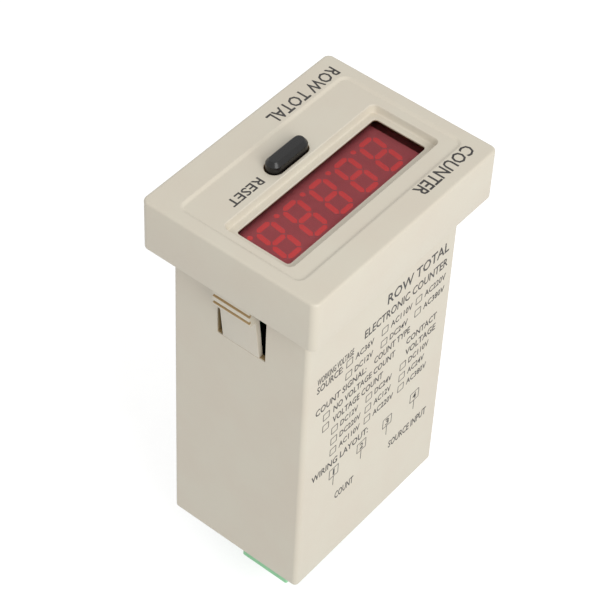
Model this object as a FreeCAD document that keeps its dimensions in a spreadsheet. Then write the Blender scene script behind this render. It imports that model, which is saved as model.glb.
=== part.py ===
"""Electronic row counter for panel mounting, as an assembly of separate pieces.

Frame: millimetres, +Z out of the display face, +X along the reading direction of the display,
+Y towards the top of the digits. The origin is the centre of the plane in which the bezel's
rear rim meets the front of the panel, so the housing hangs below it along -Z.
"""

import FreeCAD, Part
import math
import os
import re
import Sketcher
from FreeCAD import Placement, Rotation, Vector

POLES = 4
LINKS = 8
LINK_Y = "main_y - board_plate / 2 - link_side / 2"
FRONT = "main_y + board_plate / 2"
BACK = "main_y - board_plate / 2"

# The driving dimensions, in millimetres unless the words say otherwise.
SIZES = {
    # front bezel
    "bezel_length": (72.0, "bezel along X"),
    "bezel_width": (54.4, "bezel along Y"),
    "bezel_depth": (16.1, "bezel from panel seat to face"),
    "bezel_corner": (2.0, "radius of the bezel's upright corners"),
    "bezel_edge": (0.7, "radius round the face's outer edge"),
    "skirt_wall": (2.2, "wall of the bezel's skirt"),
    "rim_wall": (1.1, "width of the raised rim that meets the panel"),
    "rim_step": (0.4, "height of that rim"),
    "face_plate": (2.6, "thickness of the face plate"),
    "collar_wall": (1.4, "wall of the collar that takes the housing"),
    "collar_gap": (0.2, "play between collar and housing"),
    "collar_level": (1.0, "height of the collar's lower edge above the seat"),
    "panel_length": (63.1, "sunk panel on the face along X"),
    "panel_width": (36.9, "sunk panel on the face along Y"),
    "panel_y": (0.3, "centre of the sunk panel"),
    "panel_sink": (0.5, "depth of the sunk panel"),
    "panel_corner": (1.8, "corner radius of the sunk panel"),
    # display window
    "window_x": (0.3, "window centre along X"),
    "window_y": (3.8, "window centre along Y"),
    "recess_length": (57.7, "window recess along X"),
    "recess_width": (20.3, "window recess along Y"),
    "recess_sink": (2.2, "depth of the recess below the sunk panel"),
    "recess_corner": (1.3, "corner radius of the recess"),
    "window_length": (54.0, "clear window along X"),
    "window_width": (16.3, "clear window along Y"),
    "window_corner": (1.0, "corner radius of the clear window"),
    "window_floor": (0.9, "thickness of the ledge round the window"),
    "lens_length": (57.0, "lens along X"),
    "lens_width": (19.4, "lens along Y"),
    "lens_plate": (1.2, "thickness of the lens"),
    "lens_play": (0.1, "play between the lens and its pocket"),
    "lens_corner": (0.9, "corner radius of the lens"),
    "pocket_wall": (1.2, "wall round the lens pocket"),
    # reset key
    "key_length": (14.0, "key cap along X"),
    "key_width": (4.5, "key cap along Y"),
    "key_x": (1.1, "key centre along X"),
    "key_y": (-10.4, "key centre along Y"),
    "key_stand": (3.0, "height of the key above the sunk panel"),
    "key_edge": (0.5, "radius round the top of the key"),
    "key_play": (0.3, "play round the key in the face plate"),
    "key_travel": (1.0, "travel of the key"),
    "key_flange": (0.75, "how far the key's flange stands out"),
    "flange_plate": (1.2, "thickness of the key's flange"),
    "stem_radius": (1.5, "radius of the key's stem"),
    "stem_play": (0.05, "radial running play of the stem"),
    "stem_collar": (2.2, "radius of the stem's collar"),
    "collar_plate": (1.0, "thickness of the stem's collar"),
    "switch_side": (6.2, "side of the key switch"),
    "switch_rise": (5.0, "height of the key switch"),
    "switch_lid": (0.6, "lid of the key switch"),
    "switch_floor": (0.8, "floor of the key switch"),
    "spring_radius": (1.7, "mean radius of the return spring"),
    "spring_wire": (0.17, "radius of the return spring's wire"),
    "spring_turns": (4, "turns of the return spring"),
    # housing
    "housing_length": (60.9, "housing along X"),
    "housing_width": (43.6, "housing along Y"),
    "housing_depth": (103.2, "housing from panel seat to base"),
    "housing_corner": (1.4, "radius of the housing's upright corners"),
    "housing_edge": (0.5, "radius round the base"),
    "housing_wall": (1.8, "wall of the housing"),
    "housing_floor": (2.0, "thickness of the base"),
    "housing_rise": (10.6, "how far the housing reaches into the bezel"),
    "snap_x": (18.0, "place of the snap bumps from the middle"),
    "snap_length": (8.0, "length of a snap bump"),
    "snap_height": (2.4, "height of a snap bump"),
    "snap_stand": (0.9, "how far a snap bump stands out"),
    "snap_level": (5.7, "middle of the snap bumps above the seat"),
    "snap_play": (0.3, "play round a snap bump"),
    "rib_stand": (1.5, "how far a board rib stands off the wall"),
    "rib_wall": (1.4, "thickness of a board rib"),
    "rib_play": (0.15, "play of the main board between its ribs"),
    "rib_top": (-24.0, "top of the board ribs"),
    # panel latches
    "slot_width": (15.6, "width of the housing's latch slot"),
    "slot_low": (-21.4, "lower end of the latch slot"),
    "slot_high": (0.6, "upper end of the latch slot"),
    "latch_width": (11.7, "width of a latch"),
    "latch_y": (0.6, "middle of the latches and their slots along Y"),
    "latch_root": (-21.3, "lower end of a latch"),
    "latch_plate": (1.5, "thickness of a latch's tongue"),
    "latch_slope": (7.0, "outward slope of the tongue in degrees"),
    "latch_top": (-0.8, "top of a latch's head"),
    "head_low": (-7.0, "lower side of a latch's head"),
    "head_reach": (4.3, "how far the head stands off the wall"),
    "head_lead": (0.9, "radius of the head's lead-in edge"),
    "groove_depth": (0.55, "depth of the grip grooves"),
    "groove_height": (0.75, "height of the grip grooves"),
    "groove_upper": (-2.85, "level of the upper grip groove"),
    "groove_lower": (-5.15, "level of the lower grip groove"),
    # display
    "module_x": (0.0, "middle of the display module along X"),
    "module_y": (3.5, "middle of the display module along Y"),
    "module_length": (52.0, "display module along X"),
    "module_width": (18.4, "display module along Y"),
    "module_face": (11.0, "level of the module's face"),
    "module_rise": (7.0, "height of the module"),
    "pin_radius": (0.25, "radius of the module's pins"),
    "pin_pitch": (2.54, "pitch of the module's pins"),
    "pin_row": (6.5, "rows of pins from the module's middle"),
    "pin_length": (2.6, "length of the module's pins"),
    "pin_play": (0.2, "play round a pin in the board"),
    # circuit boards
    "board_plate": (1.6, "thickness of the circuit boards"),
    "display_length": (56.0, "display board along X"),
    "display_width": (38.5, "display board along Y"),
    "post_x": (25.2, "board posts from the middle along X"),
    "post_y": (16.2, "board posts from the middle along Y"),
    "post_radius": (2.4, "radius of a board post"),
    "pilot_radius": (0.85, "radius of a post's pilot hole"),
    "pilot_depth": (6.0, "depth of a post's pilot hole"),
    "screw_radius": (0.8, "radius of a board screw"),
    "screw_reach": (5.4, "how far a board screw reaches into its post"),
    "screw_hole": (1.2, "radius of a screw hole in the board"),
    "screw_head": (2.0, "radius of a board screw's head"),
    "screw_head_rise": (1.4, "height of a board screw's head"),
    "screw_slot": (0.6, "width and depth of a board screw's slot"),
    "link_x": (-15.0, "middle of the pin strip along X"),
    "link_side": (2.5, "side of the pin strip"),
    "link_pin": (0.64, "side of a pin of the strip"),
    "main_y": (-5.2, "middle plane of the main board"),
    "main_length": (56.8, "main board along X below the latches"),
    "main_neck": (42.0, "main board along X beside the latches"),
    "main_top": (1.9, "top edge of the main board"),
    "main_step": (-23.6, "level at which the main board widens"),
    "main_low": (-99.6, "lower edge of the main board"),
    # transformer
    "core_y": (8.5, "middle of the core along Y"),
    "core_mid": (-72.0, "level of the core's middle"),
    "core_length": (35.0, "core along X"),
    "core_width": (14.0, "core along Y"),
    "core_rise": (29.0, "core along Z"),
    "core_window": (7.0, "width of a window of the core"),
    "window_rise": (19.0, "height of a window of the core"),
    "limb_side": (10.0, "width of the core's middle limb"),
    "flange_rise": (0.8, "thickness of a bobbin flange"),
    "winding_length": (23.0, "winding along X"),
    "winding_width": (20.6, "winding along Y"),
    # terminals
    "pole_pitch": (10.16, "pitch of the terminals"),
    "plug_length": (43.0, "terminal plug along X"),
    "plug_width": (16.0, "terminal plug along Y"),
    "plug_y": (3.8, "middle of the terminal plug"),
    "plug_rise": (16.8, "height of the plug below the base"),
    "plug_gap": (0.2, "gap between plug and base"),
    "spigot_wall": (1.5, "step from the plug's sides to its spigot"),
    "spigot_rise": (10.2, "height of the plug's spigot"),
    "spigot_play": (0.3, "play of the spigot in the header"),
    "header_wall": (1.2, "wall of the terminal header"),
    "header_floor": (2.0, "floor of the terminal header"),
    "header_play": (0.4, "play of the header in the base"),
    "contact_y": (3.1, "middle of the plug's contact bars"),
    "prong_y": (4.4, "middle of the header's pins"),
    "prong_radius": (0.5, "radius of a header pin"),
    "prong_reach": (8.0, "how far a header pin reaches into the plug"),
    "clamp_level": (-110.5, "level of the terminal screws"),
    "clamp_low": (-0.6, "lower side of a wire clamp"),
    "clamp_rise": (5.6, "height of a wire clamp"),
    "clamp_length": (5.0, "wire clamp along X"),
    "clamp_width": (4.6, "wire clamp along Z"),
    "clamp_travel": (1.5, "travel of a wire clamp"),
    "turn_radius": (1.45, "radius of a terminal screw's shank"),
    "turn_head": (1.75, "radius of a terminal screw's head"),
    "turn_head_rise": (1.6, "height of a terminal screw's head"),
    "turn_seat": (8.2, "seat of a terminal screw's head"),
    "wire_side": (3.4, "side of a wire entry"),
}

doc = FreeCAD.newDocument("RowCounter")
sheet = doc.addObject("Spreadsheet::Sheet", "Sizes")
for row, (alias, (number, meaning)) in enumerate(SIZES.items(), start=1):
    sheet.set(f"A{row}", meaning)
    sheet.set(f"B{row}", str(number))
    sheet.setAlias(f"B{row}", alias)
doc.recompute()

pieces = []
cuts = []


# ---------------------------------------------------------------- helpers


def bound(text):
    """Expression text with each size name pointed at the sheet."""
    return re.sub(r"[a-z]\w*", lambda m: f"Sizes.{m[0]}" if m[0] in SIZES else m[0], str(text))


def value(text):
    """The number that an expression over the sheet gives."""
    return float(sheet.evalExpression(bound(text)))


def bind(thing, **expressions):
    """Bind properties of a document object to expressions over the sheet."""
    for name, text in expressions.items():
        thing.setExpression(name.replace("__", "."), bound(text))


def place(thing, x=0, y=0, z=0):
    """Bind the place of a document object and return the object."""
    bind(thing, Placement__Base__x=x, Placement__Base__y=y, Placement__Base__z=z)
    return thing


def new_body(label):
    """A design body that becomes one node of the assembly."""
    body = doc.addObject("PartDesign::Body", label)
    body.Label = label
    pieces.append(body)
    return body


def finish(thing, label):
    """Name a finished Part object as a node of the assembly."""
    thing.Label = label
    pieces.append(thing)
    return thing


def sketch_on(body, role, x=0, y=0, level=0):
    """An empty sketch on an origin plane of the body, moved by x, y and level in that plane's axes."""
    sketch = body.newObject("Sketcher::SketchObject", "Sketch")
    plane = next(f for f in body.Origin.OriginFeatures if f.Role == role)
    sketch.AttachmentSupport = (plane, [""])
    sketch.MapMode = "FlatFace"
    bind(sketch, AttachmentOffset__Base__x=x, AttachmentOffset__Base__y=y)
    bind(sketch, AttachmentOffset__Base__z=level)
    return sketch


def constrain(sketch, kind, *where, size=None, name=None):
    """Add one constraint; a size binds it to the sheet under that name."""
    if size is None:
        return sketch.addConstraint(Sketcher.Constraint(kind, *where))
    index = sketch.addConstraint(Sketcher.Constraint(kind, *where, value(size)))
    sketch.renameConstraint(index, name)
    sketch.setExpression(f"Constraints.{name}", bound(size))
    return index


def rounded_rectangle(sketch, length, width, radius, tag="Outer"):
    """A rectangle with round corners, centred on the sketch's origin."""
    half_x, half_y, r = value(length) / 2, value(width) / 2, value(radius)
    reach_x, reach_y = half_x - r, half_y - r
    corners = [(reach_x, -reach_y), (reach_x, reach_y), (-reach_x, reach_y), (-reach_x, -reach_y)]
    first = sketch.GeometryCount
    for turn, (x, y) in enumerate(corners):
        start = (turn - 1) * math.pi / 2
        before = corners[turn - 1]
        offset = Vector(math.cos(start), math.sin(start), 0) * r
        sketch.addGeometry(Part.LineSegment(Vector(*before, 0) + offset, Vector(x, y, 0) + offset))
        circle = Part.Circle(Vector(x, y, 0), Vector(0, 0, 1), r)
        sketch.addGeometry(Part.ArcOfCircle(circle, start, start + math.pi / 2))
    sides = [first, first + 2, first + 4, first + 6]
    arcs = [first + 1, first + 3, first + 5, first + 7]
    for turn in range(4):
        constrain(sketch, "Tangent", sides[turn], 2, arcs[turn], 1)
        constrain(sketch, "Tangent", arcs[turn], 2, sides[(turn + 1) % 4], 1)
        constrain(sketch, "Vertical" if turn % 2 else "Horizontal", sides[turn])
    for arc in arcs[1:]:
        constrain(sketch, "Equal", arcs[0], arc)
    constrain(sketch, "Symmetric", sides[0], 1, sides[2], 1, -1, 1)
    constrain(sketch, "DistanceX", sides[3], 1, sides[1], 1, size=length, name=f"{tag}Length")
    constrain(sketch, "DistanceY", sides[0], 1, sides[2], 1, size=width, name=f"{tag}Width")
    constrain(sketch, "Radius", arcs[0], size=radius, name=f"{tag}Corner")


def outline(sketch, points, tag="P"):
    """A closed outline of straight sides; each point is a pair of expressions."""
    first = sketch.GeometryCount
    places = [Vector(value(x), value(y), 0) for x, y in points]
    count = len(points)
    for index, start in enumerate(places):
        sketch.addGeometry(Part.LineSegment(start, places[(index + 1) % count]))
    for index, (x, y) in enumerate(points):
        constrain(sketch, "Coincident", first + index, 2, first + (index + 1) % count, 1)
        constrain(sketch, "DistanceX", first + index, 1, size=x, name=f"{tag}X{index}")
        constrain(sketch, "DistanceY", first + index, 1, size=y, name=f"{tag}Y{index}")


def rectangle(sketch, x, y, length, width, tag="P"):
    """A rectangle about the point x, y."""
    low_x, high_x = f"({x}) - ({length}) / 2", f"({x}) + ({length}) / 2"
    low_y, high_y = f"({y}) - ({width}) / 2", f"({y}) + ({width}) / 2"
    outline(sketch, [(low_x, low_y), (high_x, low_y), (high_x, high_y), (low_x, high_y)], tag)


def circles(sketch, radius, centres):
    """Circles of one radius at the given centres."""
    for index, (x, y) in enumerate(centres):
        centre = Vector(value(x), value(y), 0)
        circle = sketch.addGeometry(Part.Circle(centre, Vector(0, 0, 1), value(radius)))
        constrain(sketch, "Radius", circle, size=radius, name=f"Radius{index}")
        constrain(sketch, "DistanceX", circle, 3, size=x, name=f"CentreX{index}")
        constrain(sketch, "DistanceY", circle, 3, size=y, name=f"CentreY{index}")


def pad(body, sketch, length, both_ways=False, reverse=False):
    """Add material from the sketch along its normal."""
    feature = body.newObject("PartDesign::Pad", "Pad")
    feature.Profile = sketch
    feature.Midplane = both_ways
    feature.Reversed = reverse
    bind(feature, Length=length)
    return feature


def pocket(body, sketch, length, both_ways=False):
    """Remove material from the sketch against its normal."""
    feature = body.newObject("PartDesign::Pocket", "Pocket")
    feature.Profile = sketch
    feature.Midplane = both_ways
    bind(feature, Length=length)
    cuts.append(feature)
    return feature


def round_edges(body, base, radius, wanted, kind="PartDesign::Fillet"):
    """Round (or chamfer) the edges of the last feature for which wanted(edge) is true."""
    doc.recompute()
    names = [f"Edge{i}" for i, edge in enumerate(base.Shape.Edges, start=1) if wanted(edge)]
    feature = body.newObject(kind, kind.split("::")[1])
    feature.Base = (base, names)
    bind(feature, **{"Radius" if kind.endswith("Fillet") else "Size": radius})
    return feature


def at_level(level, axis="z"):
    """A test for edges that lie wholly at one level along an axis."""
    target = value(level)

    def wanted(edge):
        return all(abs(getattr(v.Point, axis) - target) < 1e-4 for v in edge.Vertexes)

    return wanted


def box(length, width, rise, x, y, z):
    """A block centred on x and y, with its lower face at z."""
    block = doc.addObject("Part::Box", "Block")
    bind(block, Length=length, Width=width, Height=rise)
    place(block, f"({x}) - ({length}) / 2", f"({y}) - ({width}) / 2", z)
    return block


def rod(radius, rise, x, y, z, along="z"):
    """A cylinder from x, y, z along +Z or +Y."""
    cylinder = doc.addObject("Part::Cylinder", "Rod")
    bind(cylinder, Radius=radius, Height=rise)
    if along == "y":
        cylinder.Placement = Placement(Vector(), Rotation(Vector(1, 0, 0), -90))
    place(cylinder, x, y, z)
    return cylinder


def fuse(*shapes):
    """One solid, or a group of separate ones, from several shapes."""
    joined = doc.addObject("Part::MultiFuse", "Joined")
    joined.Shapes = list(shapes)
    return joined


def cut(base, *tools):
    """A shape less others."""
    left = doc.addObject("Part::Cut", "Left")
    left.Base = base
    left.Tool = fuse(*tools) if len(tools) > 1 else tools[0]
    return left


def pole_places():
    """The terminals' places along X, as expressions."""
    return [f"({pole - (POLES - 1) / 2}) * pole_pitch" for pole in range(POLES)]


# ---------------------------------------------------------------- bezel, lens and key


def make_bezel():
    """The front moulding: face plate, skirt, collar for the housing, lens pocket and board posts."""
    body = new_body("front_bezel")
    inside = "bezel_depth - face_plate"
    outer = sketch_on(body, "XY_Plane")
    rounded_rectangle(outer, "bezel_length", "bezel_width", "bezel_corner")
    block = pad(body, outer, "bezel_depth")
    round_edges(body, block, "bezel_edge", at_level("bezel_depth"))

    hollow = sketch_on(body, "XY_Plane", level=inside)
    rounded_rectangle(hollow, "bezel_length - 2 * skirt_wall", "bezel_width - 2 * skirt_wall",
                      "bezel_corner / 2")
    pocket(body, hollow, inside)
    rim = sketch_on(body, "XY_Plane", level="rim_step")
    rounded_rectangle(rim, "bezel_length - 2 * rim_wall", "bezel_width - 2 * rim_wall",
                      "bezel_corner * 0.7")
    pocket(body, rim, "rim_step")

    collar = sketch_on(body, "XY_Plane", level="collar_level")
    inner_length = "housing_length + 2 * collar_gap"
    inner_width = "housing_width + 2 * collar_gap"
    rounded_rectangle(collar, f"{inner_length} + 2 * collar_wall", f"{inner_width} + 2 * collar_wall",
                      "housing_corner + collar_gap + collar_wall")
    rounded_rectangle(collar, inner_length, inner_width, "housing_corner + collar_gap", tag="Inner")
    pad(body, collar, f"{inside} - collar_level")

    floor = "bezel_depth - panel_sink - recess_sink"
    pocket_level = f"{floor} - window_floor - lens_plate"
    boss = sketch_on(body, "XY_Plane", "window_x", "window_y", pocket_level)
    rounded_rectangle(boss, "lens_length + 2 * (lens_play + pocket_wall)",
                      "lens_width + 2 * (lens_play + pocket_wall)", "lens_corner + pocket_wall")
    pad(body, boss, f"{inside} - ({pocket_level})")
    sunk = sketch_on(body, "XY_Plane", 0, "panel_y", "bezel_depth")
    rounded_rectangle(sunk, "panel_length", "panel_width", "panel_corner")
    pocket(body, sunk, "panel_sink")
    recess = sketch_on(body, "XY_Plane", "window_x", "window_y", "bezel_depth - panel_sink")
    rounded_rectangle(recess, "recess_length", "recess_width", "recess_corner")
    pocket(body, recess, "recess_sink")
    window = sketch_on(body, "XY_Plane", "window_x", "window_y", floor)
    rounded_rectangle(window, "window_length", "window_width", "window_corner")
    pocket(body, window, "window_floor + lens_plate")
    seat = sketch_on(body, "XY_Plane", "window_x", "window_y", f"{floor} - window_floor")
    rounded_rectangle(seat, "lens_length + 2 * lens_play", "lens_width + 2 * lens_play", "lens_corner")
    pocket(body, seat, "lens_plate")

    keyway = sketch_on(body, "XY_Plane", "key_x", "key_y", "bezel_depth")
    rounded_rectangle(keyway, "key_length + 2 * key_play", "key_width + 2 * key_play",
                      "(key_width + 2 * key_play) * 0.499")
    pocket(body, keyway, "face_plate + panel_sink")

    posts = sketch_on(body, "XY_Plane", level="module_face - module_rise")
    circles(posts, "post_radius", post_places())
    pad(body, posts, f"{inside} - (module_face - module_rise)")
    pilots = sketch_on(body, "XY_Plane", level="module_face - module_rise + pilot_depth")
    circles(pilots, "pilot_radius", post_places())
    pocket(body, pilots, "pilot_depth")

    front = "-(housing_width / 2 + collar_gap / 2)"
    rear = "housing_width / 2 + collar_gap * 2 + collar_wall"
    for level in (front, rear):
        slots = sketch_on(body, "XZ_Plane", level=level)
        for side in (-1, 1):
            rectangle(slots, f"{side} * snap_x", "snap_level", "snap_length + 2 * snap_play",
                      "snap_height + 2 * snap_play", tag=f"S{side + 1}")
        pocket(body, slots, "collar_wall + collar_gap * 1.5")


def make_lens():
    """The red filter that sits behind the window's ledge."""
    body = new_body("window_lens")
    sketch = sketch_on(body, "XY_Plane", "window_x", "window_y",
                       "bezel_depth - panel_sink - recess_sink - window_floor - lens_plate")
    rounded_rectangle(sketch, "lens_length", "lens_width", "lens_corner")
    pad(body, sketch, "lens_plate")


def make_key_cap():
    """The oblong reset key with the flange that keeps it in the face plate and a socket for its stem."""
    body = new_body("reset_key_cap")
    top = "bezel_depth - panel_sink + key_stand"
    flange_top = "bezel_depth - face_plate - 0.1"
    cap = sketch_on(body, "XY_Plane", "key_x", "key_y", f"{flange_top} - flange_plate / 2")
    rounded_rectangle(cap, "key_length", "key_width", "key_width * 0.499")
    block = pad(body, cap, f"{top} - ({flange_top} - flange_plate / 2)")
    round_edges(body, block, "key_edge", at_level(top))
    flange = sketch_on(body, "XY_Plane", "key_x", "key_y", f"{flange_top} - flange_plate")
    rounded_rectangle(flange, "key_length + 2 * key_flange", "key_width + 2 * key_flange",
                      "key_width / 2 + key_flange - 0.05")
    pad(body, flange, "flange_plate")
    socket = sketch_on(body, "XY_Plane", "key_x", "key_y", f"{flange_top} + 1")
    circles(socket, "stem_radius + 0.1", [("0", "0")])
    pocket(body, socket, "flange_plate + 1")


def make_switch():
    """The key switch on the display board: body, stem and return spring."""
    base = "module_face - module_rise"
    lid = f"{base} + switch_rise - switch_lid"
    shell = box("switch_side", "switch_side", "switch_rise", "key_x", "key_y", base)
    chamber = rod("stem_collar + 0.2", "switch_rise - switch_lid - switch_floor", "key_x", "key_y",
                  f"{base} + switch_floor")
    mouth = rod("stem_radius + stem_play", "switch_lid + 1", "key_x", "key_y", f"{lid} - 0.5")
    finish(cut(shell, chamber, mouth), "key_switch_body")

    collar_top = f"{lid} - 0.1"
    stem = rod("stem_radius", f"bezel_depth - face_plate + 0.8 - ({collar_top} - collar_plate)",
               "key_x", "key_y", f"{collar_top} - collar_plate")
    collar = rod("stem_collar", "collar_plate", "key_x", "key_y", f"{collar_top} - collar_plate")
    finish(fuse(stem, collar), "key_stem")

    # Each half turn is a tilted half ring; the next tilts the other way, so the wire runs on smoothly.
    low = f"{base} + switch_floor + spring_wire + 0.03"
    pitch = f"({collar_top} - collar_plate - spring_wire - 0.03 - ({low})) / spring_turns"
    tilt = math.degrees(math.atan(value(pitch) / 4 / value("spring_radius")))
    half_turns = []
    for index in range(2 * int(value("spring_turns"))):
        half_turn = doc.addObject("Part::Torus", "SpringHalfTurn")
        bind(half_turn, Radius1=f"sqrt(spring_radius^2 + ({pitch})^2 / 16)", Radius2="spring_wire")
        half_turn.Angle3 = 180
        about_axis = Rotation(Vector(0, 0, 1), 180 * index)
        half_turn.Placement.Rotation = about_axis * Rotation(Vector(0, 1, 0), tilt)
        half_turns.append(place(half_turn, "key_x", "key_y", f"{low} + {index / 2 + 0.25} * ({pitch})"))
    spring = fuse(*half_turns)
    finish(spring, "key_return_spring")


# ---------------------------------------------------------------- housing and latches


def make_housing():
    """The deep box behind the panel, with latch slots, base opening, snap bumps and board ribs."""
    body = new_body("housing")
    outer = sketch_on(body, "XY_Plane", level="-housing_depth")
    rounded_rectangle(outer, "housing_length", "housing_width", "housing_corner")
    block = pad(body, outer, "housing_depth + housing_rise")
    round_edges(body, block, "housing_edge", at_level("-housing_depth"))
    hollow = sketch_on(body, "XY_Plane", level="housing_rise")
    rounded_rectangle(hollow, "housing_length - 2 * housing_wall", "housing_width - 2 * housing_wall",
                      "0.6")
    pocket(body, hollow, "housing_rise + housing_depth - housing_floor")

    slots = sketch_on(body, "YZ_Plane")
    rectangle(slots, "latch_y", "(slot_low + slot_high) / 2", "slot_width", "slot_high - slot_low")
    pocket(body, slots, "housing_length + 4", both_ways=True)
    opening = sketch_on(body, "XY_Plane", 0, "plug_y", "-housing_depth + housing_floor")
    rounded_rectangle(opening, "plug_length + 2 * header_play", "plug_width + 2 * header_play", "0.5")
    pocket(body, opening, "housing_floor")

    for level in ("-(housing_width / 2 + snap_stand)", "housing_width / 2 - 0.1"):
        bumps = sketch_on(body, "XZ_Plane", level=level)
        for side in (-1, 1):
            rectangle(bumps, f"{side} * snap_x", "snap_level", "snap_length", "snap_height",
                      tag=f"S{side + 1}")
        pad(body, bumps, "snap_stand + 0.1")

    ribs = sketch_on(body, "XY_Plane", level="-housing_depth + housing_floor / 2")
    wall = "housing_length / 2 - housing_wall"
    gap = "board_plate / 2 + rib_play + rib_wall / 2"
    for side in (-1, 1):
        for face in (-1, 1):
            rectangle(ribs, f"{side} * ({wall} - rib_stand / 2 + 0.1)", f"main_y + {face} * ({gap})",
                      "rib_stand + 0.2", "rib_wall", tag=f"R{side + 1}{face + 1}")
    pad(body, ribs, "rib_top + housing_depth - housing_floor / 2")


def make_latch(label, side):
    """A springy tongue whose grooved head grips the panel's edge; side is +1 or -1 along X."""
    body = new_body(label)
    wall = "housing_length / 2"
    lean = "tan(latch_slope * 1 deg)"
    thick = "latch_plate / cos(latch_slope * 1 deg)"
    head_out = f"{wall} + head_reach"
    step = f"{wall} + (head_low - latch_root) * {lean}"
    crown = f"{wall} + (latch_top - latch_root) * {lean} - {thick}"
    points = [(f"{wall} - {thick}", "latch_root"), (wall, "latch_root"), (step, "head_low"),
              (f"{head_out} - 0.4", "head_low")]
    for groove in ("groove_lower", "groove_upper"):
        points += [(head_out, f"{groove} - groove_height / 2"),
                   (f"{head_out} - groove_depth", f"{groove} - groove_height / 2"),
                   (f"{head_out} - groove_depth", f"{groove} + groove_height / 2"),
                   (head_out, f"{groove} + groove_height / 2")]
    points += [(head_out, "latch_top"), (crown, "latch_top")]
    profile = sketch_on(body, "XZ_Plane", level="-latch_y")
    outline(profile, points)
    block = pad(body, profile, "latch_width", both_ways=True)
    low, outer = at_level("head_low"), at_level(f"{head_out} - 0.4", "x")
    round_edges(body, block, "head_lead", lambda edge: low(edge) and outer(edge))
    if side < 0:
        body.Placement = Placement(Vector(0, 2 * value("latch_y"), 0), Rotation(Vector(0, 0, 1), 180))


# ---------------------------------------------------------------- display and boards


def make_display():
    """The five-digit display module with its two rows of pins."""
    base = "module_face - module_rise"
    body = new_body("led_display")
    block = sketch_on(body, "XY_Plane", "module_x", "module_y", base)
    rounded_rectangle(block, "module_length", "module_width", "0.3")
    pad(body, block, "module_rise")
    pins = sketch_on(body, "XY_Plane", "module_x", "module_y", base)
    circles(pins, "pin_radius", pin_places())
    pad(body, pins, "pin_length", reverse=True)


def pin_places():
    """The module's pins about its middle, in two rows of seven."""
    return [(f"({column}) * pin_pitch", f"({row}) * pin_row") for row in (-1, 1) for column in range(-3, 4)]


def post_places():
    """The posts that carry the display board."""
    return [(f"{i} * post_x", f"{j} * post_y") for i in (-1, 1) for j in (-1, 1)]


def link_places():
    """The pins that join the two boards, along X."""
    return [f"link_x + ({number - (LINKS - 1) / 2}) * pin_pitch" for number in range(LINKS)]


def make_display_board():
    """The board that carries the display and the key switch, screwed to the bezel's posts."""
    body = new_body("display_board")
    low = "module_face - module_rise - board_plate"
    plate = sketch_on(body, "XY_Plane", level=low)
    rounded_rectangle(plate, "display_length", "display_width", "1.0")
    pad(body, plate, "board_plate")
    holes = sketch_on(body, "XY_Plane", level=f"{low} + board_plate")
    circles(holes, "screw_hole", post_places())
    pocket(body, holes, "board_plate")
    links = sketch_on(body, "XY_Plane", level=f"{low} + board_plate")
    circles(links, "0.55", [(x, LINK_Y) for x in link_places()])
    pocket(body, links, "board_plate")
    drills = sketch_on(body, "XY_Plane", "module_x", "module_y", f"{low} + board_plate")
    circles(drills, "pin_radius + pin_play", pin_places())
    pocket(body, drills, "board_plate")


def make_board_screws():
    """Four tapping screws that hold the display board on the bezel's posts."""
    board_low = "module_face - module_rise - board_plate"
    screws = []
    for x, y in post_places():
        head = rod("screw_head", "screw_head_rise", x, y, f"{board_low} - screw_head_rise")
        shank = rod("screw_radius", "board_plate + screw_reach", x, y, board_low)
        slot = box("screw_slot", "2 * screw_head + 1", "screw_slot", x, y, f"{board_low} - screw_head_rise")
        screws.append(cut(fuse(head, shank), slot))
    finish(fuse(*screws), "board_screws")


def make_board_link():
    """A pin strip on the back of the main board whose pins pass through the display board."""
    strip = box(f"{LINKS} * pin_pitch", "link_side", "link_side", "link_x", LINK_Y, "main_top - 4.5")
    pins = [box("link_pin", "link_pin", "8.2", x, LINK_Y, "main_top - 5.5") for x in link_places()]
    finish(fuse(strip, *pins), "board_link")


def make_main_board():
    """The board behind the display, narrower beside the latches so that they can swing in."""
    body = new_body("main_board")
    plate = sketch_on(body, "XZ_Plane", level="-(main_y)")
    outline(plate, [("-main_length / 2", "main_low"), ("main_length / 2", "main_low"),
                    ("main_length / 2", "main_step"), ("main_neck / 2", "main_step"),
                    ("main_neck / 2", "main_top"), ("-main_neck / 2", "main_top"),
                    ("-main_neck / 2", "main_step"), ("-main_length / 2", "main_step")])
    pad(body, plate, "board_plate", both_ways=True)


# ---------------------------------------------------------------- parts on the main board


def make_transformer():
    """The mains transformer: laminated core, bobbin and winding about a vertical axis."""
    core = box("core_length", "core_width", "core_rise", 0, "core_y", "core_mid - core_rise / 2")
    windows = [box("core_window", "core_width + 2", "window_rise", f"{side} * (limb_side + core_window) / 2",
                   "core_y", "core_mid - window_rise / 2") for side in (-1, 1)]
    finish(cut(core, *windows), "transformer_core")

    rise = "window_rise - 0.4"
    low = f"core_mid - ({rise}) / 2"
    tube = box("limb_side + 2", "core_width + 2", rise, 0, "core_y", low)
    far = "core_y + winding_width / 2 + 0.5"
    across, along = f"({far} + {FRONT}) / 2", f"{far} - ({FRONT})"
    flanges = [box("winding_length + 0.4", along, "flange_rise", 0, across, level)
               for level in (low, f"{low} + {rise} - flange_rise")]
    past = "core_mid - window_rise / 2 - 0.5"
    hole = box("limb_side + 0.2", "core_width + 0.2", "window_rise + 1", 0, "core_y", past)
    finish(cut(fuse(tube, *flanges), hole), "transformer_bobbin")

    coil = box("winding_length", "winding_width", f"{rise} - 2 * flange_rise - 0.4", 0, "core_y",
               f"{low} + flange_rise + 0.2")
    bore = box("limb_side + 2.2", "core_width + 2.2", "window_rise + 1", 0, "core_y", past)
    finish(cut(coil, bore), "transformer_winding")


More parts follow.
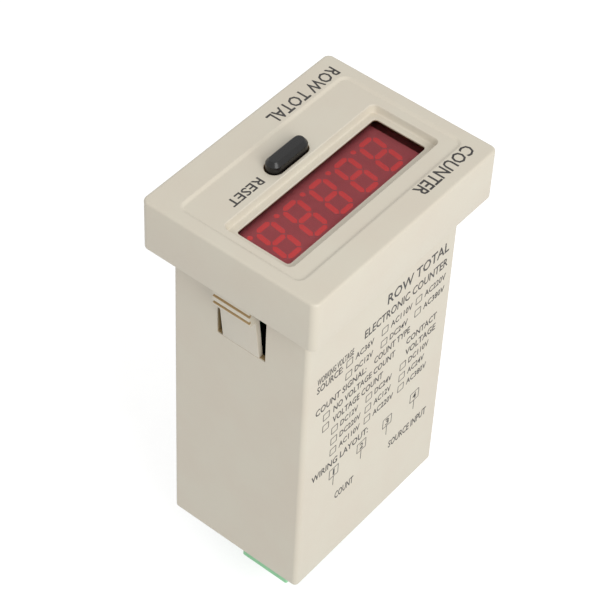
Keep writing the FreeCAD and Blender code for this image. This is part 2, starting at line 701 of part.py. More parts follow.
def make_can(label, radius, rise, x, z):
    """An electrolytic capacitor that stands on the front of the main board."""
    body = new_body(label)
    section = sketch_on(body, "XY_Plane", level=z)
    low, high = FRONT, f"{FRONT} + {rise}"
    waist = f"{radius} - 0.4"
    outline(section, [(x, low), (f"{x} + {radius}", low), (f"{x} + {radius}", f"{low} + 1.2"),
                      (f"{x} + {waist}", f"{low} + 1.7"), (f"{x} + {radius}", f"{low} + 2.2"),
                      (f"{x} + {radius}", high), (x, high)])
    spin = body.newObject("PartDesign::Revolution", "Turned")
    spin.Profile = section
    axis = section.addGeometry(Part.LineSegment(Vector(value(x), 0, 0), Vector(value(x), 1, 0)), True)
    constrain(section, "Vertical", axis)
    constrain(section, "DistanceX", axis, 1, size=x, name="AxisX")
    constrain(section, "DistanceY", axis, 1, size="0", name="AxisLow")
    constrain(section, "DistanceY", axis, 1, axis, 2, size="1", name="AxisRise")
    spin.ReferenceAxis = (section, ["Axis0"])
    spin.Angle = 360.0


def make_chip(label, legs, x, z, face):
    """A dual in-line chip with its long side along Z; face is +1 on the board's front or -1 behind."""
    surface = FRONT if face > 0 else BACK
    rise = legs * 2.54 / 2
    block = box(6.4, 3.2, rise, x, f"{surface} + {face} * 2.1", z - rise / 2)
    leads = []
    for row in range(legs // 2):
        level = z - rise / 2 + 1.27 + row * 2.54
        for side in (-1, 1):
            leads.append(box(0.6, 2.1, 0.6, x + side * 3.4, f"{surface} + {face} * 1.05", level - 0.3))
    finish(fuse(block, *leads), label)


def make_small_parts():
    """Rectifier, regulator, crystal and surge varistor on the main board."""
    bridge = box(8.2, 3.4, 6.4, -20, f"{FRONT} + 1.7", -54)
    finish(bridge, "bridge_rectifier")

    tab = box(10, 1.3, 15.2, 19, f"{FRONT} + 0.65", -50)
    block = box(10, 4.5, 9, 19, f"{FRONT} + 2.25", -50)
    hole = rod(1.8, 6, 19, f"{FRONT} - 2", -38, along="y")
    legs = [box(0.8, 0.6, 4, 19 + offset, f"{FRONT} + 2.2", -54) for offset in (-2.54, 0, 2.54)]
    finish(cut(fuse(tab, block, *legs), hole), "voltage_regulator")

    barrel = box(6.6, 3.6, 4.5, 12, f"{BACK} - 1.8", -38)
    ends = [rod(2.25, 3.6, 12 + side * 3.3, f"{BACK} - 3.6", -35.75, along="y") for side in (-1, 1)]
    finish(fuse(barrel, *ends), "crystal")

    disc = rod(5, 4.2, -19, f"{BACK} - 5.2", -80, along="y")
    leads = [box(0.7, 1.4, 0.7, -19 + side * 2.5, f"{BACK} - 0.7", -80) for side in (-1, 1)]
    finish(fuse(disc, *leads), "surge_varistor")


# ---------------------------------------------------------------- terminals


def make_header():
    """The shrouded header fixed to the main board, and its contact pins."""
    mouth = "-housing_depth"
    cavity = "spigot_rise - plug_gap + 1.0"
    body = new_body("terminal_header")
    shroud = sketch_on(body, "XY_Plane", 0, "plug_y", mouth)
    rounded_rectangle(shroud, "plug_length", "plug_width", "0.4")
    pad(body, shroud, f"{cavity} + header_floor")
    socket = sketch_on(body, "XY_Plane", 0, "plug_y", f"{mouth} + {cavity}")
    rounded_rectangle(socket, "plug_length - 2 * header_wall", "plug_width - 2 * header_wall", "0.3")
    pocket(body, socket, cavity)
    holes = sketch_on(body, "XY_Plane", 0, 0, f"{mouth} + {cavity} + header_floor")
    circles(holes, "prong_radius + 0.05", [(x, "prong_y") for x in pole_places()])
    pocket(body, holes, "header_floor")
    low = f"{mouth} + {cavity} - prong_reach"
    pins = [rod("prong_radius", "prong_reach + header_floor + 2", x, "prong_y", low) for x in pole_places()]
    finish(fuse(*pins), "header_pins")


def make_plug():
    """The pull-off plug that takes the wires: moulded body and contact bars."""
    top = "-housing_depth - plug_gap"
    low = f"{top} - plug_rise"
    body = new_body("terminal_plug")
    block = sketch_on(body, "XY_Plane", 0, "plug_y", low)
    rounded_rectangle(block, "plug_length", "plug_width", "0.6")
    solid = pad(body, block, "plug_rise")
    round_edges(body, solid, "0.4", at_level(low), "PartDesign::Chamfer")
    spigot = sketch_on(body, "XY_Plane", 0, "plug_y", top)
    rounded_rectangle(spigot, "plug_length - 2 * spigot_wall", "plug_width - 2 * spigot_wall", "0.3")
    pad(body, spigot, "spigot_rise")

    places = pole_places()
    wires = sketch_on(body, "XY_Plane", 0, 0, "clamp_level")
    for index, x in enumerate(places):
        rectangle(wires, x, "1.8", "wire_side", "wire_side", tag=f"W{index}")
    pocket(body, wires, f"clamp_level - ({low})")
    channels = sketch_on(body, "XY_Plane", 0, 0, f"{top} + spigot_rise")
    for index, x in enumerate(places):
        rectangle(channels, x, "(contact_y + prong_y) / 2 + 0.1", "3.0", "prong_y - contact_y + 1.4",
                  tag=f"C{index}")
    pocket(body, channels, f"{top} + spigot_rise - clamp_level")
    chambers = sketch_on(body, "XZ_Plane", level="-(clamp_low + clamp_rise / 2 + clamp_travel / 2)")
    for index, x in enumerate(places):
        rectangle(chambers, x, "clamp_level", "clamp_length + 0.6", "clamp_width + 0.6", tag=f"K{index}")
    pocket(body, chambers, "clamp_rise + clamp_travel + 0.6", both_ways=True)
    shanks = sketch_on(body, "XZ_Plane", level="-(turn_seat - 2)")
    circles(shanks, "turn_radius + 0.1", [(x, "clamp_level") for x in places])
    pocket(body, shanks, "3")
    heads = sketch_on(body, "XZ_Plane", level="-(turn_seat)")
    circles(heads, "turn_head + 0.1", [(x, "clamp_level") for x in places])
    pocket(body, heads, "plug_width")
    grooves = sketch_on(body, "XY_Plane", 0, 0, top)
    for index in range(POLES - 1):
        middle = f"({index - (POLES - 2) / 2}) * pole_pitch"
        rectangle(grooves, middle, "plug_y + plug_width / 2", "1.0", "1.2", tag=f"G{index}")
    pocket(body, grooves, "plug_rise")

    rise = f"{top} + spigot_rise - 1 - (clamp_level - 2.2)"
    bars = [box(2.6, 0.8, rise, x, "contact_y", "clamp_level - 2.2") for x in places]
    finish(fuse(*bars), "plug_contacts")


def make_terminals():
    """Each pole's captive screw and the clamp that it draws up."""
    for number, x in enumerate(pole_places(), start=1):
        head = rod("turn_head", "turn_head_rise", x, "turn_seat + 0.05", "clamp_level", along="y")
        tip = "clamp_low + clamp_rise - 1.3"
        shank = rod("turn_radius", f"turn_seat + 0.15 - ({tip})", x, tip, "clamp_level", along="y")
        slot = box(0.6, 0.8, 5, x, "turn_seat + 0.05 + turn_head_rise - 0.35", "clamp_level - 2.5")
        finish(cut(fuse(head, shank), slot), f"terminal_screw_{number}")

        frame = box("clamp_length", "clamp_rise", "clamp_width", x, "clamp_low + clamp_rise / 2",
                    "clamp_level - clamp_width / 2")
        way = box("wire_side", "clamp_rise - 2.2", "clamp_width + 1", x,
                  "clamp_low + 1 + (clamp_rise - 2.2) / 2", "clamp_level - clamp_width / 2 - 0.5")
        tapped = rod("turn_radius + 0.05", 3, x, "clamp_low + clamp_rise - 2", "clamp_level", along="y")
        finish(cut(frame, way, tapped), f"wire_clamp_{number}")


# ---------------------------------------------------------------- assembly


def build():
    """Make every piece in the order in which it is put together."""
    make_bezel()
    make_lens()
    make_key_cap()
    make_switch()
    make_housing()
    make_latch("latch_right", 1)
    make_latch("latch_left", -1)
    make_display()
    make_display_board()
    make_board_screws()
    make_board_link()
    make_main_board()
    make_transformer()
    make_can("main_capacitor", 6.25, 20, -12, -42)
    make_can("output_capacitor", 4.0, 12, 4, -46)
    make_small_parts()
    make_chip("microcontroller", 20, -2, -40, -1)
    make_chip("memory_chip", 8, -16, -44, -1)
    make_chip("optocoupler", 6, 20, -78, -1)
    make_header()
    make_plug()
    make_terminals()


def check():
    """Stop if any object failed, any cut took nothing away, or any piece isn't a valid solid."""
    for thing in doc.Objects:
        if "Invalid" in thing.State or "Error" in thing.State:
            raise RuntimeError(f"{thing.Label} failed: {thing.State}")
    for feature in cuts:
        if feature.BaseFeature.Shape.Volume - feature.Shape.Volume < 1e-3:
            raise RuntimeError(f"{feature.getParentGeoFeatureGroup().Label}: {feature.Label} cuts nothing")
    for piece in pieces:
        if piece.Shape.isNull() or not piece.Shape.isValid() or not piece.Shape.Solids:
            raise RuntimeError(f"{piece.Label} isn't a valid solid")


build()
doc.recompute()
check()
os.makedirs("parts", exist_ok=True)
for piece in pieces:
    piece.Shape.exportStep(f"parts/{piece.Label}.step")
    size = piece.Shape.BoundBox
    print(f"{piece.Label:22s} {len(piece.Shape.Solids)} solid(s), {piece.Shape.Volume:9.1f} mm3, "
          f"z {size.ZMin:8.2f} to {size.ZMax:7.2f}")
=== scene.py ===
"""Looks of an electronic row counter: a deep cream housing, a bezel with a red window and a terminal plug."""

import logging
import math
from collections.abc import Sequence
from dataclasses import dataclass, field
from enum import Enum, IntEnum

import bpy
import numpy as np
from mathutils import Matrix, Vector
from mathutils.geometry import tessellate_polygon


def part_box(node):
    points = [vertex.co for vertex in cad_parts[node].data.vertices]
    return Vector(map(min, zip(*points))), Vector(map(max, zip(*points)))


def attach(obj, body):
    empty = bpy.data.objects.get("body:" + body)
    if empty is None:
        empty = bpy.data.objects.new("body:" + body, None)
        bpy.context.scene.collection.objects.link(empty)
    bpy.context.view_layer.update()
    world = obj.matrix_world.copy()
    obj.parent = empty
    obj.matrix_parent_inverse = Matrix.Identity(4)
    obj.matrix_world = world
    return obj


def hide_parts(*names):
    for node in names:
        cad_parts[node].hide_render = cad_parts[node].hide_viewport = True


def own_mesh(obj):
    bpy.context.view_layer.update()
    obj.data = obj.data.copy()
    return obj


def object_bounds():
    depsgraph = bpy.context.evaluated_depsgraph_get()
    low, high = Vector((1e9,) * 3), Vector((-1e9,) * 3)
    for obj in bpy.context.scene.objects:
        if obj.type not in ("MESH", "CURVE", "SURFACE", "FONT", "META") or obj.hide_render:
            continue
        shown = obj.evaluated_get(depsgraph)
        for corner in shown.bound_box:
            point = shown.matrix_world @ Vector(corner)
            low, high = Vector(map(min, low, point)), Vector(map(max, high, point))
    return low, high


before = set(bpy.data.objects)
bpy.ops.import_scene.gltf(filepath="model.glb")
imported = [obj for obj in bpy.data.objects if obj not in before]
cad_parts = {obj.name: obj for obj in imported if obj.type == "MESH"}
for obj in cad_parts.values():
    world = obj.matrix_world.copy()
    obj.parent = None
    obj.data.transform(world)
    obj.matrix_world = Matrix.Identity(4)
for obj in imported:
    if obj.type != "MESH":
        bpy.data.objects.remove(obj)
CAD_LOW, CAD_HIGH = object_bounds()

MM = 0.001
X, Y, Z = np.eye(3)
# Segments in a loop's corner and in a rounded edge.
ARC_STEPS = 8
EDGE_STEPS = 4
# Least corner radius of a loop that has moved inwards, in millimetres.
LEAST_CORNER = 0.12
# Flat between the four arcs of a round loop, in millimetres, so that no two of its points fall together.
ROUND_FLAT = 0.01
# Corners of faces that lie this close are one vertex, in millimetres.
WELD = 2e-4
# A length or an area below this counts as nothing.
NOTHING = 1e-9
# Width of the faint clouds of colour on every surface, in millimetres.
CLOUD_MM = 14.0
# The wave texture's scale is divided by this, which makes a light and a dark band about one grain wide each.
WAVE_TURN = 6.28
# The fine relief is drawn this many times higher than it is, because it would be too faint to see.
RELIEF_GAIN = 4
# How far from a corner the painted shade reaches, in millimetres.
PAINTED_SHADE_REACH = 2.2
# Index of the plastic with painted shade among the paints of the housing and of a latch.
SHADE_PAINT_INDEX = 1
# What a node's input may be given: a value, or the output of another node.
Given = bpy.types.NodeSocket | float | Sequence[float]
log = logging.getLogger("row_counter")


# ------------------------------------------------------------------ colours and nodes


def linear(code: str) -> tuple[float, float, float, float]:
    """Turn an sRGB hex colour into linear light.

    Args:
        code: Six hex digits, such as "d9d4c2".

    Returns:
        Red, green, blue and an alpha of 1, as the shader sockets want them.
    """
    parts = np.array([int(code[i : i + 2], 16) for i in (0, 2, 4)]) / 255
    light = np.where(parts <= 0.04045, parts / 12.92, ((parts + 0.055) / 1.055) ** 2.4)
    return (*(float(part) for part in light), 1.0)


def per(size_mm: float) -> float:
    """The texture scale that gives features of about size_mm on Object coordinates in metres."""
    return 1.0 / (size_mm * MM)


def add(tree: bpy.types.NodeTree, kind: str, inputs: dict[str | int, Given] | None = None,
        **settings: str | int) -> bpy.types.Node:
    """Add one node with its settings, values and links.

    Args:
        tree: The node tree to add to.
        kind: The node's type without the word ShaderNode.
        inputs: Values or output sockets, by input name or index.
        **settings: Properties of the node itself.

    Returns:
        The new node.
    """
    node = tree.nodes.new(f"ShaderNode{kind}")
    for name, setting in settings.items():
        setattr(node, name, setting)
    for name, given in (inputs or {}).items():
        if isinstance(given, bpy.types.NodeSocket):
            tree.links.new(given, node.inputs[name])
        else:
            node.inputs[name].default_value = given
    return node


def mixed(tree: bpy.types.NodeTree, share: Given, first: Given, second: Given) -> bpy.types.NodeSocket:
    """Blend two colours by a share of the second."""
    return add(tree, "Mix", {0: share, 6: first, 7: second}, data_type="RGBA").outputs[2]


def spread(tree: bpy.types.NodeTree, given: Given, low: float, high: float,
           to_low: float, to_high: float) -> bpy.types.NodeSocket:
    """Map a value from the range low..high to to_low..to_high, held at both ends."""
    return add(tree, "MapRange", {0: given, 1: low, 2: high, 3: to_low, 4: to_high}).outputs[0]


class Pattern(Enum):
    """How a surface was made, which sets the form of its fine relief."""

    MOULDED = "even grain left by a sparked mould"
    PLATED = "drawn or pressed metal under a thin plating"
    LAMINATED = "a stack of thin sheets seen on edge"
    WOUND = "turns of tape or wire side by side"


@dataclass(frozen=True)
class Finish:
    """One real material and what its making gives the eye.

    Attributes:
        name: The material's plain name.
        colour: Its usual colour, sRGB hex.
        tint: The colour it drifts to in broad, faint clouds.
        grain_mm: Size of the fine relief.
        relief: Height of that relief in millimetres.
        roughness: Mean roughness.
        roughness_drift: How far the roughness wanders.
        metallic: 1 for bare metal.
        ior: Index of refraction where the material is no metal.
        painted_crease_shade: Colour of the painted shade in corners and creases, or empty for none.
        glow: Strength of a painted glow in the material's own colour.
        pattern: Form of the relief.
    """

    name: str
    colour: str
    tint: str
    grain_mm: float = 0.6
    relief: float = 0.004
    roughness: float = 0.45
    roughness_drift: float = 0.06
    metallic: float = 0.0
    ior: float = 1.5
    painted_crease_shade: str = ""
    glow: float = 0.0
    pattern: Pattern = Pattern.MOULDED

    def relief_socket(self, tree: bpy.types.NodeTree, place: bpy.types.NodeSocket) -> bpy.types.NodeSocket:
        """The height pattern of the surface, 0 to 1.

        Args:
            tree: The material's tree.
            place: Object coordinates.

        Returns:
            A value socket.
        """
        scale = per(self.grain_mm)
        if self.pattern is Pattern.LAMINATED:
            stack = {"Vector": place, "Scale": scale / WAVE_TURN}
            return add(tree, "TexWave", stack, bands_direction="Y").outputs["Fac"]
        if self.pattern is Pattern.WOUND:
            turns = {"Vector": place, "Scale": scale / WAVE_TURN, "Distortion": 0.4}
            return add(tree, "TexWave", turns, bands_direction="Z").outputs["Fac"]
        if self.pattern is Pattern.PLATED:
            drawn = add(tree, "Mapping", {"Vector": place, "Scale": (1.0, 1.0, 0.15)}).outputs[0]
            return add(tree, "TexNoise", {"Vector": drawn, "Scale": scale, "Detail": 3.0}).outputs[0]
        return add(tree, "TexNoise", {"Vector": place, "Scale": scale, "Detail": 4.0}).outputs[0]

    def make(self) -> bpy.types.Material:
        """Build the material: clouded colour, painted crease shade if set, wandering roughness, fine relief,
        painted glow.
        """
        material = bpy.data.materials.new(self.name)
        material.use_nodes = True
        tree = material.node_tree
        tree.nodes.clear()
        place = add(tree, "TexCoord").outputs["Object"]
        cloud = add(tree, "TexNoise", {"Vector": place, "Scale": per(CLOUD_MM), "Detail": 3.0}).outputs[0]
        share = spread(tree, cloud, 0.35, 0.65, 0.0, 1.0)
        colour = mixed(tree, share, linear(self.colour), linear(self.tint))
        # Painted shade: where ambient occlusion finds the surface hemmed in, the colour turns to the crease shade.
        if self.painted_crease_shade:
            hollow = add(tree, "AmbientOcclusion", {"Distance": PAINTED_SHADE_REACH * MM}, samples=8).outputs["AO"]
            depth = spread(tree, hollow, 0.15, 0.6, 1.0, 0.0)
            colour = mixed(tree, depth, colour, linear(self.painted_crease_shade))
        height = self.relief_socket(tree, place)
        smooth, coarse = self.roughness - self.roughness_drift, self.roughness + self.roughness_drift
        rough = spread(tree, height, 0.3, 0.7, smooth, coarse)
        rise = self.relief * MM * RELIEF_GAIN
        bump = add(tree, "Bump", {"Height": height, "Distance": rise, "Strength": 0.5})
        shader = add(tree, "BsdfPrincipled", {
            "Base Color": colour, "Roughness": rough, "Metallic": self.metallic, "IOR": self.ior,
            "Emission Color": linear(self.colour), "Emission Strength": self.glow, "Normal": bump.outputs[0]})
        add(tree, "OutputMaterial", {"Surface": shader.outputs[0]})
        return material


# Acrylonitrile butadiene styrene, moulded in a sparked tool: satin and faintly grained, with brown painted
# shade in its corners.
CASE_ABS = Finish("moulded_cream_abs", "dbd4c3", "dad1c0", grain_mm=0.7, relief=0.006, roughness=0.42,
                  roughness_drift=0.05, painted_crease_shade="a87f48")
# Painted shade deep inside the latch slots: the same plastic, darker and browner, darker still in corners.
SLOT_SHADE_ABS = Finish("cream_abs_painted_slot_shade", "c6ae84", "bb9f6c", grain_mm=0.7, relief=0.006, roughness=0.5,
                      roughness_drift=0.05, painted_crease_shade="6b4a20")
# Painted shade in the latch's grip grooves: the same plastic, darker and browner.
GROOVE_SHADE_ABS = Finish("cream_abs_painted_groove_shade", "b49a70", "a88b5e", grain_mm=0.7, relief=0.006, roughness=0.55,
                   roughness_drift=0.05)
# The key is a harder, closer-grained moulding, so its top shows a soft sheen.
KEY_ABS = Finish("moulded_black_abs", "0d0c0c", "131212", grain_mm=0.5, relief=0.005, roughness=0.3,
                 roughness_drift=0.06, ior=1.46)
# Screen-printed epoxy ink lies as a thin, slightly uneven film.
PRINT_INK = Finish("screen_print_ink", "2b2826", "3a3735", grain_mm=0.4, relief=0.003, roughness=0.5,
                   roughness_drift=0.1)
# Cast epoxy face of the display module, pale grey with a satin skin.
DIGIT_RESIN = Finish("cast_grey_resin", "dfd8d9", "d8d0d2", grain_mm=0.5, relief=0.002, roughness=0.5,
                     roughness_drift=0.05)
# Segments are resin with diffusing powder: milky red, with a painted glow that stands in for light scattered
# inside them.
SEGMENT_RESIN = Finish("diffused_red_resin", "ffa6a2", "fd9a96", grain_mm=0.5, relief=0.002, roughness=0.35,
                       roughness_drift=0.04, glow=0.13)
# The module's reflector shell and the key switch: black, dull, with a fine grain.
BLOCK_SIDE = Finish("moulded_black_polycarbonate", "1d1a1b", "242021", grain_mm=0.5, relief=0.003,
                    roughness=0.55, roughness_drift=0.06)
# Glass-filled nylon of terminal blocks: pale green, a little glossy, cloudy, with dark green painted shade in its
# corners.
TERMINAL_NYLON = Finish("moulded_green_nylon", "98dea8", "8cd69d", grain_mm=0.6, relief=0.005, roughness=0.34,
                        roughness_drift=0.06, ior=1.53, painted_crease_shade="3f7a52")
# Zinc plating with a clear passivation: bright, faintly streaked.
ZINC_STEEL = Finish("zinc_plated_steel", "c6c8c8", "b9bdc2", grain_mm=0.3, relief=0.004, roughness=0.3,
                    roughness_drift=0.1, metallic=1.0, pattern=Pattern.PLATED)
# Tin over brass: pale and soft-bright, with a warm cast where the tin is thin.
TINNED_BRASS = Finish("tinned_brass", "cfc9b6", "c2b999", grain_mm=0.3, relief=0.003, roughness=0.26,
                      roughness_drift=0.08, metallic=1.0, pattern=Pattern.PLATED)
# Drawn wire has fine bright lines along it.
SPRING_WIRE = Finish("drawn_spring_wire", "a9abad", "989a9c", grain_mm=0.15, relief=0.002, roughness=0.24,
                     roughness_drift=0.06, metallic=1.0, pattern=Pattern.PLATED)
# A pressed can: the brightest metal inside.
CRYSTAL_CAN = Finish("pressed_nickel_silver", "d4d3cf", "c9c8c4", grain_mm=0.4, relief=0.003, roughness=0.2,
                     roughness_drift=0.06, metallic=1.0, pattern=Pattern.PLATED)
# Solder mask over woven glass laminate: deep green with a wet gloss.
SOLDER_MASK = Finish("green_solder_mask", "1f6b3d", "27784a", grain_mm=0.45, relief=0.004, roughness=0.28,
                     roughness_drift=0.07)
# Stacked iron sheets under a dip of varnish: dark, with fine stripes along their edges.
CORE_IRON = Finish("varnished_core_laminations", "4b4a4c", "5a5654", grain_mm=0.5, relief=0.03,
                   roughness=0.42, roughness_drift=0.1, metallic=0.7, pattern=Pattern.LAMINATED)
# Tape round the winding: shiny and a little see-through, so it looks deep yellow, with a step at each turn.
WINDING_TAPE = Finish("yellow_polyester_tape", "d9b233", "cfa62a", grain_mm=1.2, relief=0.02, roughness=0.3,
                      roughness_drift=0.08, pattern=Pattern.WOUND)
# A sleeve shrunk over the can: smooth and glossy.
CAN_SLEEVE = Finish("shrunk_vinyl_sleeve", "1d2f55", "243862", grain_mm=0.8, relief=0.004, roughness=0.28,
                    roughness_drift=0.06)
# Filled epoxy of chips is dull, because its filler grains break the surface.
CHIP_EPOXY = Finish("moulded_black_epoxy", "1b1b1c", "232324", grain_mm=0.35, relief=0.005, roughness=0.6,
                    roughness_drift=0.08)
# The coupler's epoxy is the same, but white, to keep its light in.
COUPLER_EPOXY = Finish("moulded_white_epoxy", "dcdbd4", "d3d2ca", grain_mm=0.35, relief=0.005, roughness=0.55,
                       roughness_drift=0.08)
# A dipped coat is thick and glossy, and wavier than a moulding.
VARISTOR_COAT = Finish("dipped_blue_epoxy", "27589a", "2f63a6", grain_mm=0.9, relief=0.01, roughness=0.3,
                       roughness_drift=0.08)
# Undyed acetal is milky white and slightly waxy.
NATURAL_ACETAL = Finish("natural_acetal", "e6e5dc", "dddcd2", grain_mm=0.5, relief=0.003, roughness=0.35,
                        roughness_drift=0.05)
# Glass fibres near the surface make the bobbin's black nylon dull.
BOBBIN_NYLON = Finish("glass_filled_nylon", "2d2c2b", "353433", grain_mm=0.4, relief=0.006, roughness=0.55,
                      roughness_drift=0.08)


@dataclass(frozen=True)
class TintedAcrylic:
    """Cast acrylic dyed red, polished on both faces, thin enough that bending of light doesn't show.

    Attributes:
        name: The material's plain name.
        dye: What one face of the sheet leaves of white light, sRGB hex: light that returns has crossed four.
        deep_dye: The same where the sheet is dyed a little deeper.
        body: Colour under the mirror layer.
        smear_mm: Size of the faint smears left by wiping.
        haze: Roughness of the polished surface.
        ior: Sets the share that the surface mirrors.
    """

    name: str = "polished_red_acrylic"
    dye: str = "fedadc"
    deep_dye: str = "fad3d6"
    body: str = "4a1216"
    smear_mm: float = 9.0
    haze: float = 0.07
    ior: float = 1.3

    def make(self) -> bpy.types.Material:
        """Build the dye as a see-through layer under a mirror that Fresnel's law weighs."""
        material = bpy.data.materials.new(self.name)
        material.use_nodes = True
        tree = material.node_tree
        tree.nodes.clear()
        place = add(tree, "TexCoord").outputs["Object"]
        wiped = {"Vector": place, "Scale": per(self.smear_mm), "Detail": 4.0}
        smear = add(tree, "TexNoise", wiped).outputs[0]
        haze = spread(tree, smear, 0.35, 0.7, self.haze, self.haze * 2.2)
        dye = mixed(tree, spread(tree, smear, 0.3, 0.7, 0.0, 0.25), linear(self.dye), linear(self.deep_dye))
        through = add(tree, "BsdfTransparent", {"Color": dye})
        polish = {"Base Color": linear(self.body), "Roughness": haze, "IOR": self.ior}
        mirror = add(tree, "BsdfPrincipled", polish)
        share = add(tree, "Fresnel", {"IOR": self.ior}).outputs[0]
        both = add(tree, "MixShader", {0: share, 1: through.outputs[0], 2: mirror.outputs[0]})
        add(tree, "OutputMaterial", {"Surface": both.outputs[0]})
        return material


class Paints:
    """Makes each material once and hands it out."""

    def __init__(self) -> None:
        """Start with no materials made."""
        self.made: dict[str, bpy.types.Material] = {}

    def get(self, finish: Finish | TintedAcrylic) -> bpy.types.Material:
        """The material of a finish, made at its first use."""
        if finish.name not in self.made:
            self.made[finish.name] = finish.make()
        return self.made[finish.name]


PAINTS = Paints()


# ------------------------------------------------------------------ surfaces


def eased(corners: Sequence[Sequence[float]], closed: bool = False, steps: int = EDGE_STEPS) -> np.ndarray:
    """Round the corners of a polyline: each corner becomes the arc of its radius, tangent to both sides.

    Args:
        corners: Points as (a, b) or (a, b, radius).
        closed: True if the last point joins the first.
        steps: Arc segments per corner.

    Returns:
        An array of points, (n, 2).
    """
    points = np.array([corner[:2] for corner in corners], float)
    radii = [corner[2] if len(corner) > 2 else 0.0 for corner in corners]
    made = []
    for index, point in enumerate(points):
        ends = not closed and index in (0, len(points) - 1)
        if ends or radii[index] <= 0:
            made.append(point[None])
            continue
        back, ahead = points[index - 1] - point, points[(index + 1) % len(points)] - point
        back, ahead = back / np.linalg.norm(back), ahead / np.linalg.norm(ahead)
        half = math.acos(float(np.clip(back @ ahead, -1, 1))) / 2
        middle = back + ahead
        centre = point + middle / np.linalg.norm(middle) * radii[index] / math.sin(half)
        start = point + back * radii[index] / math.tan(half) - centre
        sweep = math.pi - 2 * half
        turn = math.copysign(sweep, back[1] * ahead[0] - back[0] * ahead[1])
        angles = np.linspace(0, turn, steps + 1)
        cosines, sines = np.cos(angles), np.sin(angles)
        arc = np.stack([start[0] * cosines - start[1] * sines, start[0] * sines + start[1] * cosines], 1)
        made.append(centre + arc)
    line = np.concatenate(made)
    before = np.roll(line, 1, 0)
    apart = np.linalg.norm(line - before, axis=1) > 1e-6
    apart[0] |= not closed
    return line[apart]


@dataclass(frozen=True)
class Loop:
    """A closed curve in a plane that profiles are carried along.

    Attributes:
        centre: A point of the plane, in millimetres.
        u: First axis of the plane.
        v: Second axis; the loop runs from u towards v.
    """

    centre: np.ndarray
    u: np.ndarray = field(default_factory=lambda: X)
    v: np.ndarray = field(default_factory=lambda: Y)

    @property
    def n(self) -> np.ndarray:
        """The plane's normal, u cross v."""
        return np.cross(self.u, self.v)

    def flat(self, offset: float) -> tuple[np.ndarray, np.ndarray]:
        """Points and outward normals in the plane, both (n, 2), moved outwards by offset."""
        raise NotImplementedError

    def ring(self, offset: float, rise: float) -> np.ndarray:
        """The loop moved outwards by offset and along the normal by rise, (n, 3)."""
        points, _ = self.flat(offset)
        return self.centre + points[:, :1] * self.u + points[:, 1:] * self.v + rise * self.n

    def outward(self) -> np.ndarray:
        """Outward unit vectors along the loop, (n, 3)."""
        _, normals = self.flat(0.0)
        return normals[:, :1] * self.u + normals[:, 1:] * self.v


@dataclass(frozen=True)
class RoundedLoop(Loop):
    """A rectangle whose corners are quarter circles; a circle where the radius is half of each side.

    Attributes:
        half_u: Half of the size along u.
        half_v: Half of the size along v.
        corner: Radius of the corners.
        steps: Segments per corner.
    """

    half_u: float = 1.0
    half_v: float = 1.0
    corner: float = 0.5
    steps: int = ARC_STEPS

    def flat(self, offset: float) -> tuple[np.ndarray, np.ndarray]:
        """Each point is its corner's centre plus radius times (cos a, sin a), with a over a quarter turn.

        Args:
            offset: How far outwards the loop moves, in millimetres.

        Returns:
            Points and outward normals, both (n, 2).
        """
        radius = max(self.corner + offset, LEAST_CORNER)
        angles = np.linspace(-math.pi / 2, 0, self.steps + 1)
        angles = (angles[None] + np.arange(4)[:, None] * math.pi / 2).ravel()
        normals = np.stack([np.cos(angles), np.sin(angles)], 1)
        signs = np.repeat(np.array([(1, -1), (1, 1), (-1, 1), (-1, -1)]), self.steps + 1, 0)
        reach = np.array([self.half_u, self.half_v]) + offset - radius
        return signs * reach + normals * radius, normals

    def side(self, index: int) -> int:
        """The segment that runs along side 0 (+u), 1 (+v), 2 (-u) or 3 (-v)."""
        return index * (self.steps + 1) + self.steps


@dataclass(frozen=True)
class DrawnLoop(Loop):
    """A free outline.

    Attributes:
        outline: Its points in the plane, (n, 2), running from u towards v.
    """

    outline: np.ndarray = field(default_factory=lambda: np.zeros((3, 2)))

    def flat(self, offset: float) -> tuple[np.ndarray, np.ndarray]:
        """Each point moves along its sides' bisector, by offset over the cosine of half the turn.

        Args:
            offset: How far outwards the outline moves, in millimetres.

        Returns:
            Points and outward normals, both (n, 2).
        """
        ahead = np.roll(self.outline, -1, 0) - self.outline
        sides = np.stack([ahead[:, 1], -ahead[:, 0]], 1) / np.linalg.norm(ahead, axis=1, keepdims=True)
        both = sides + np.roll(sides, 1, 0)
        normals = both / np.linalg.norm(both, axis=1, keepdims=True)
        stretch = 1 / np.maximum((normals * sides).sum(1, keepdims=True), 0.35)
        return self.outline + normals * stretch * offset, normals


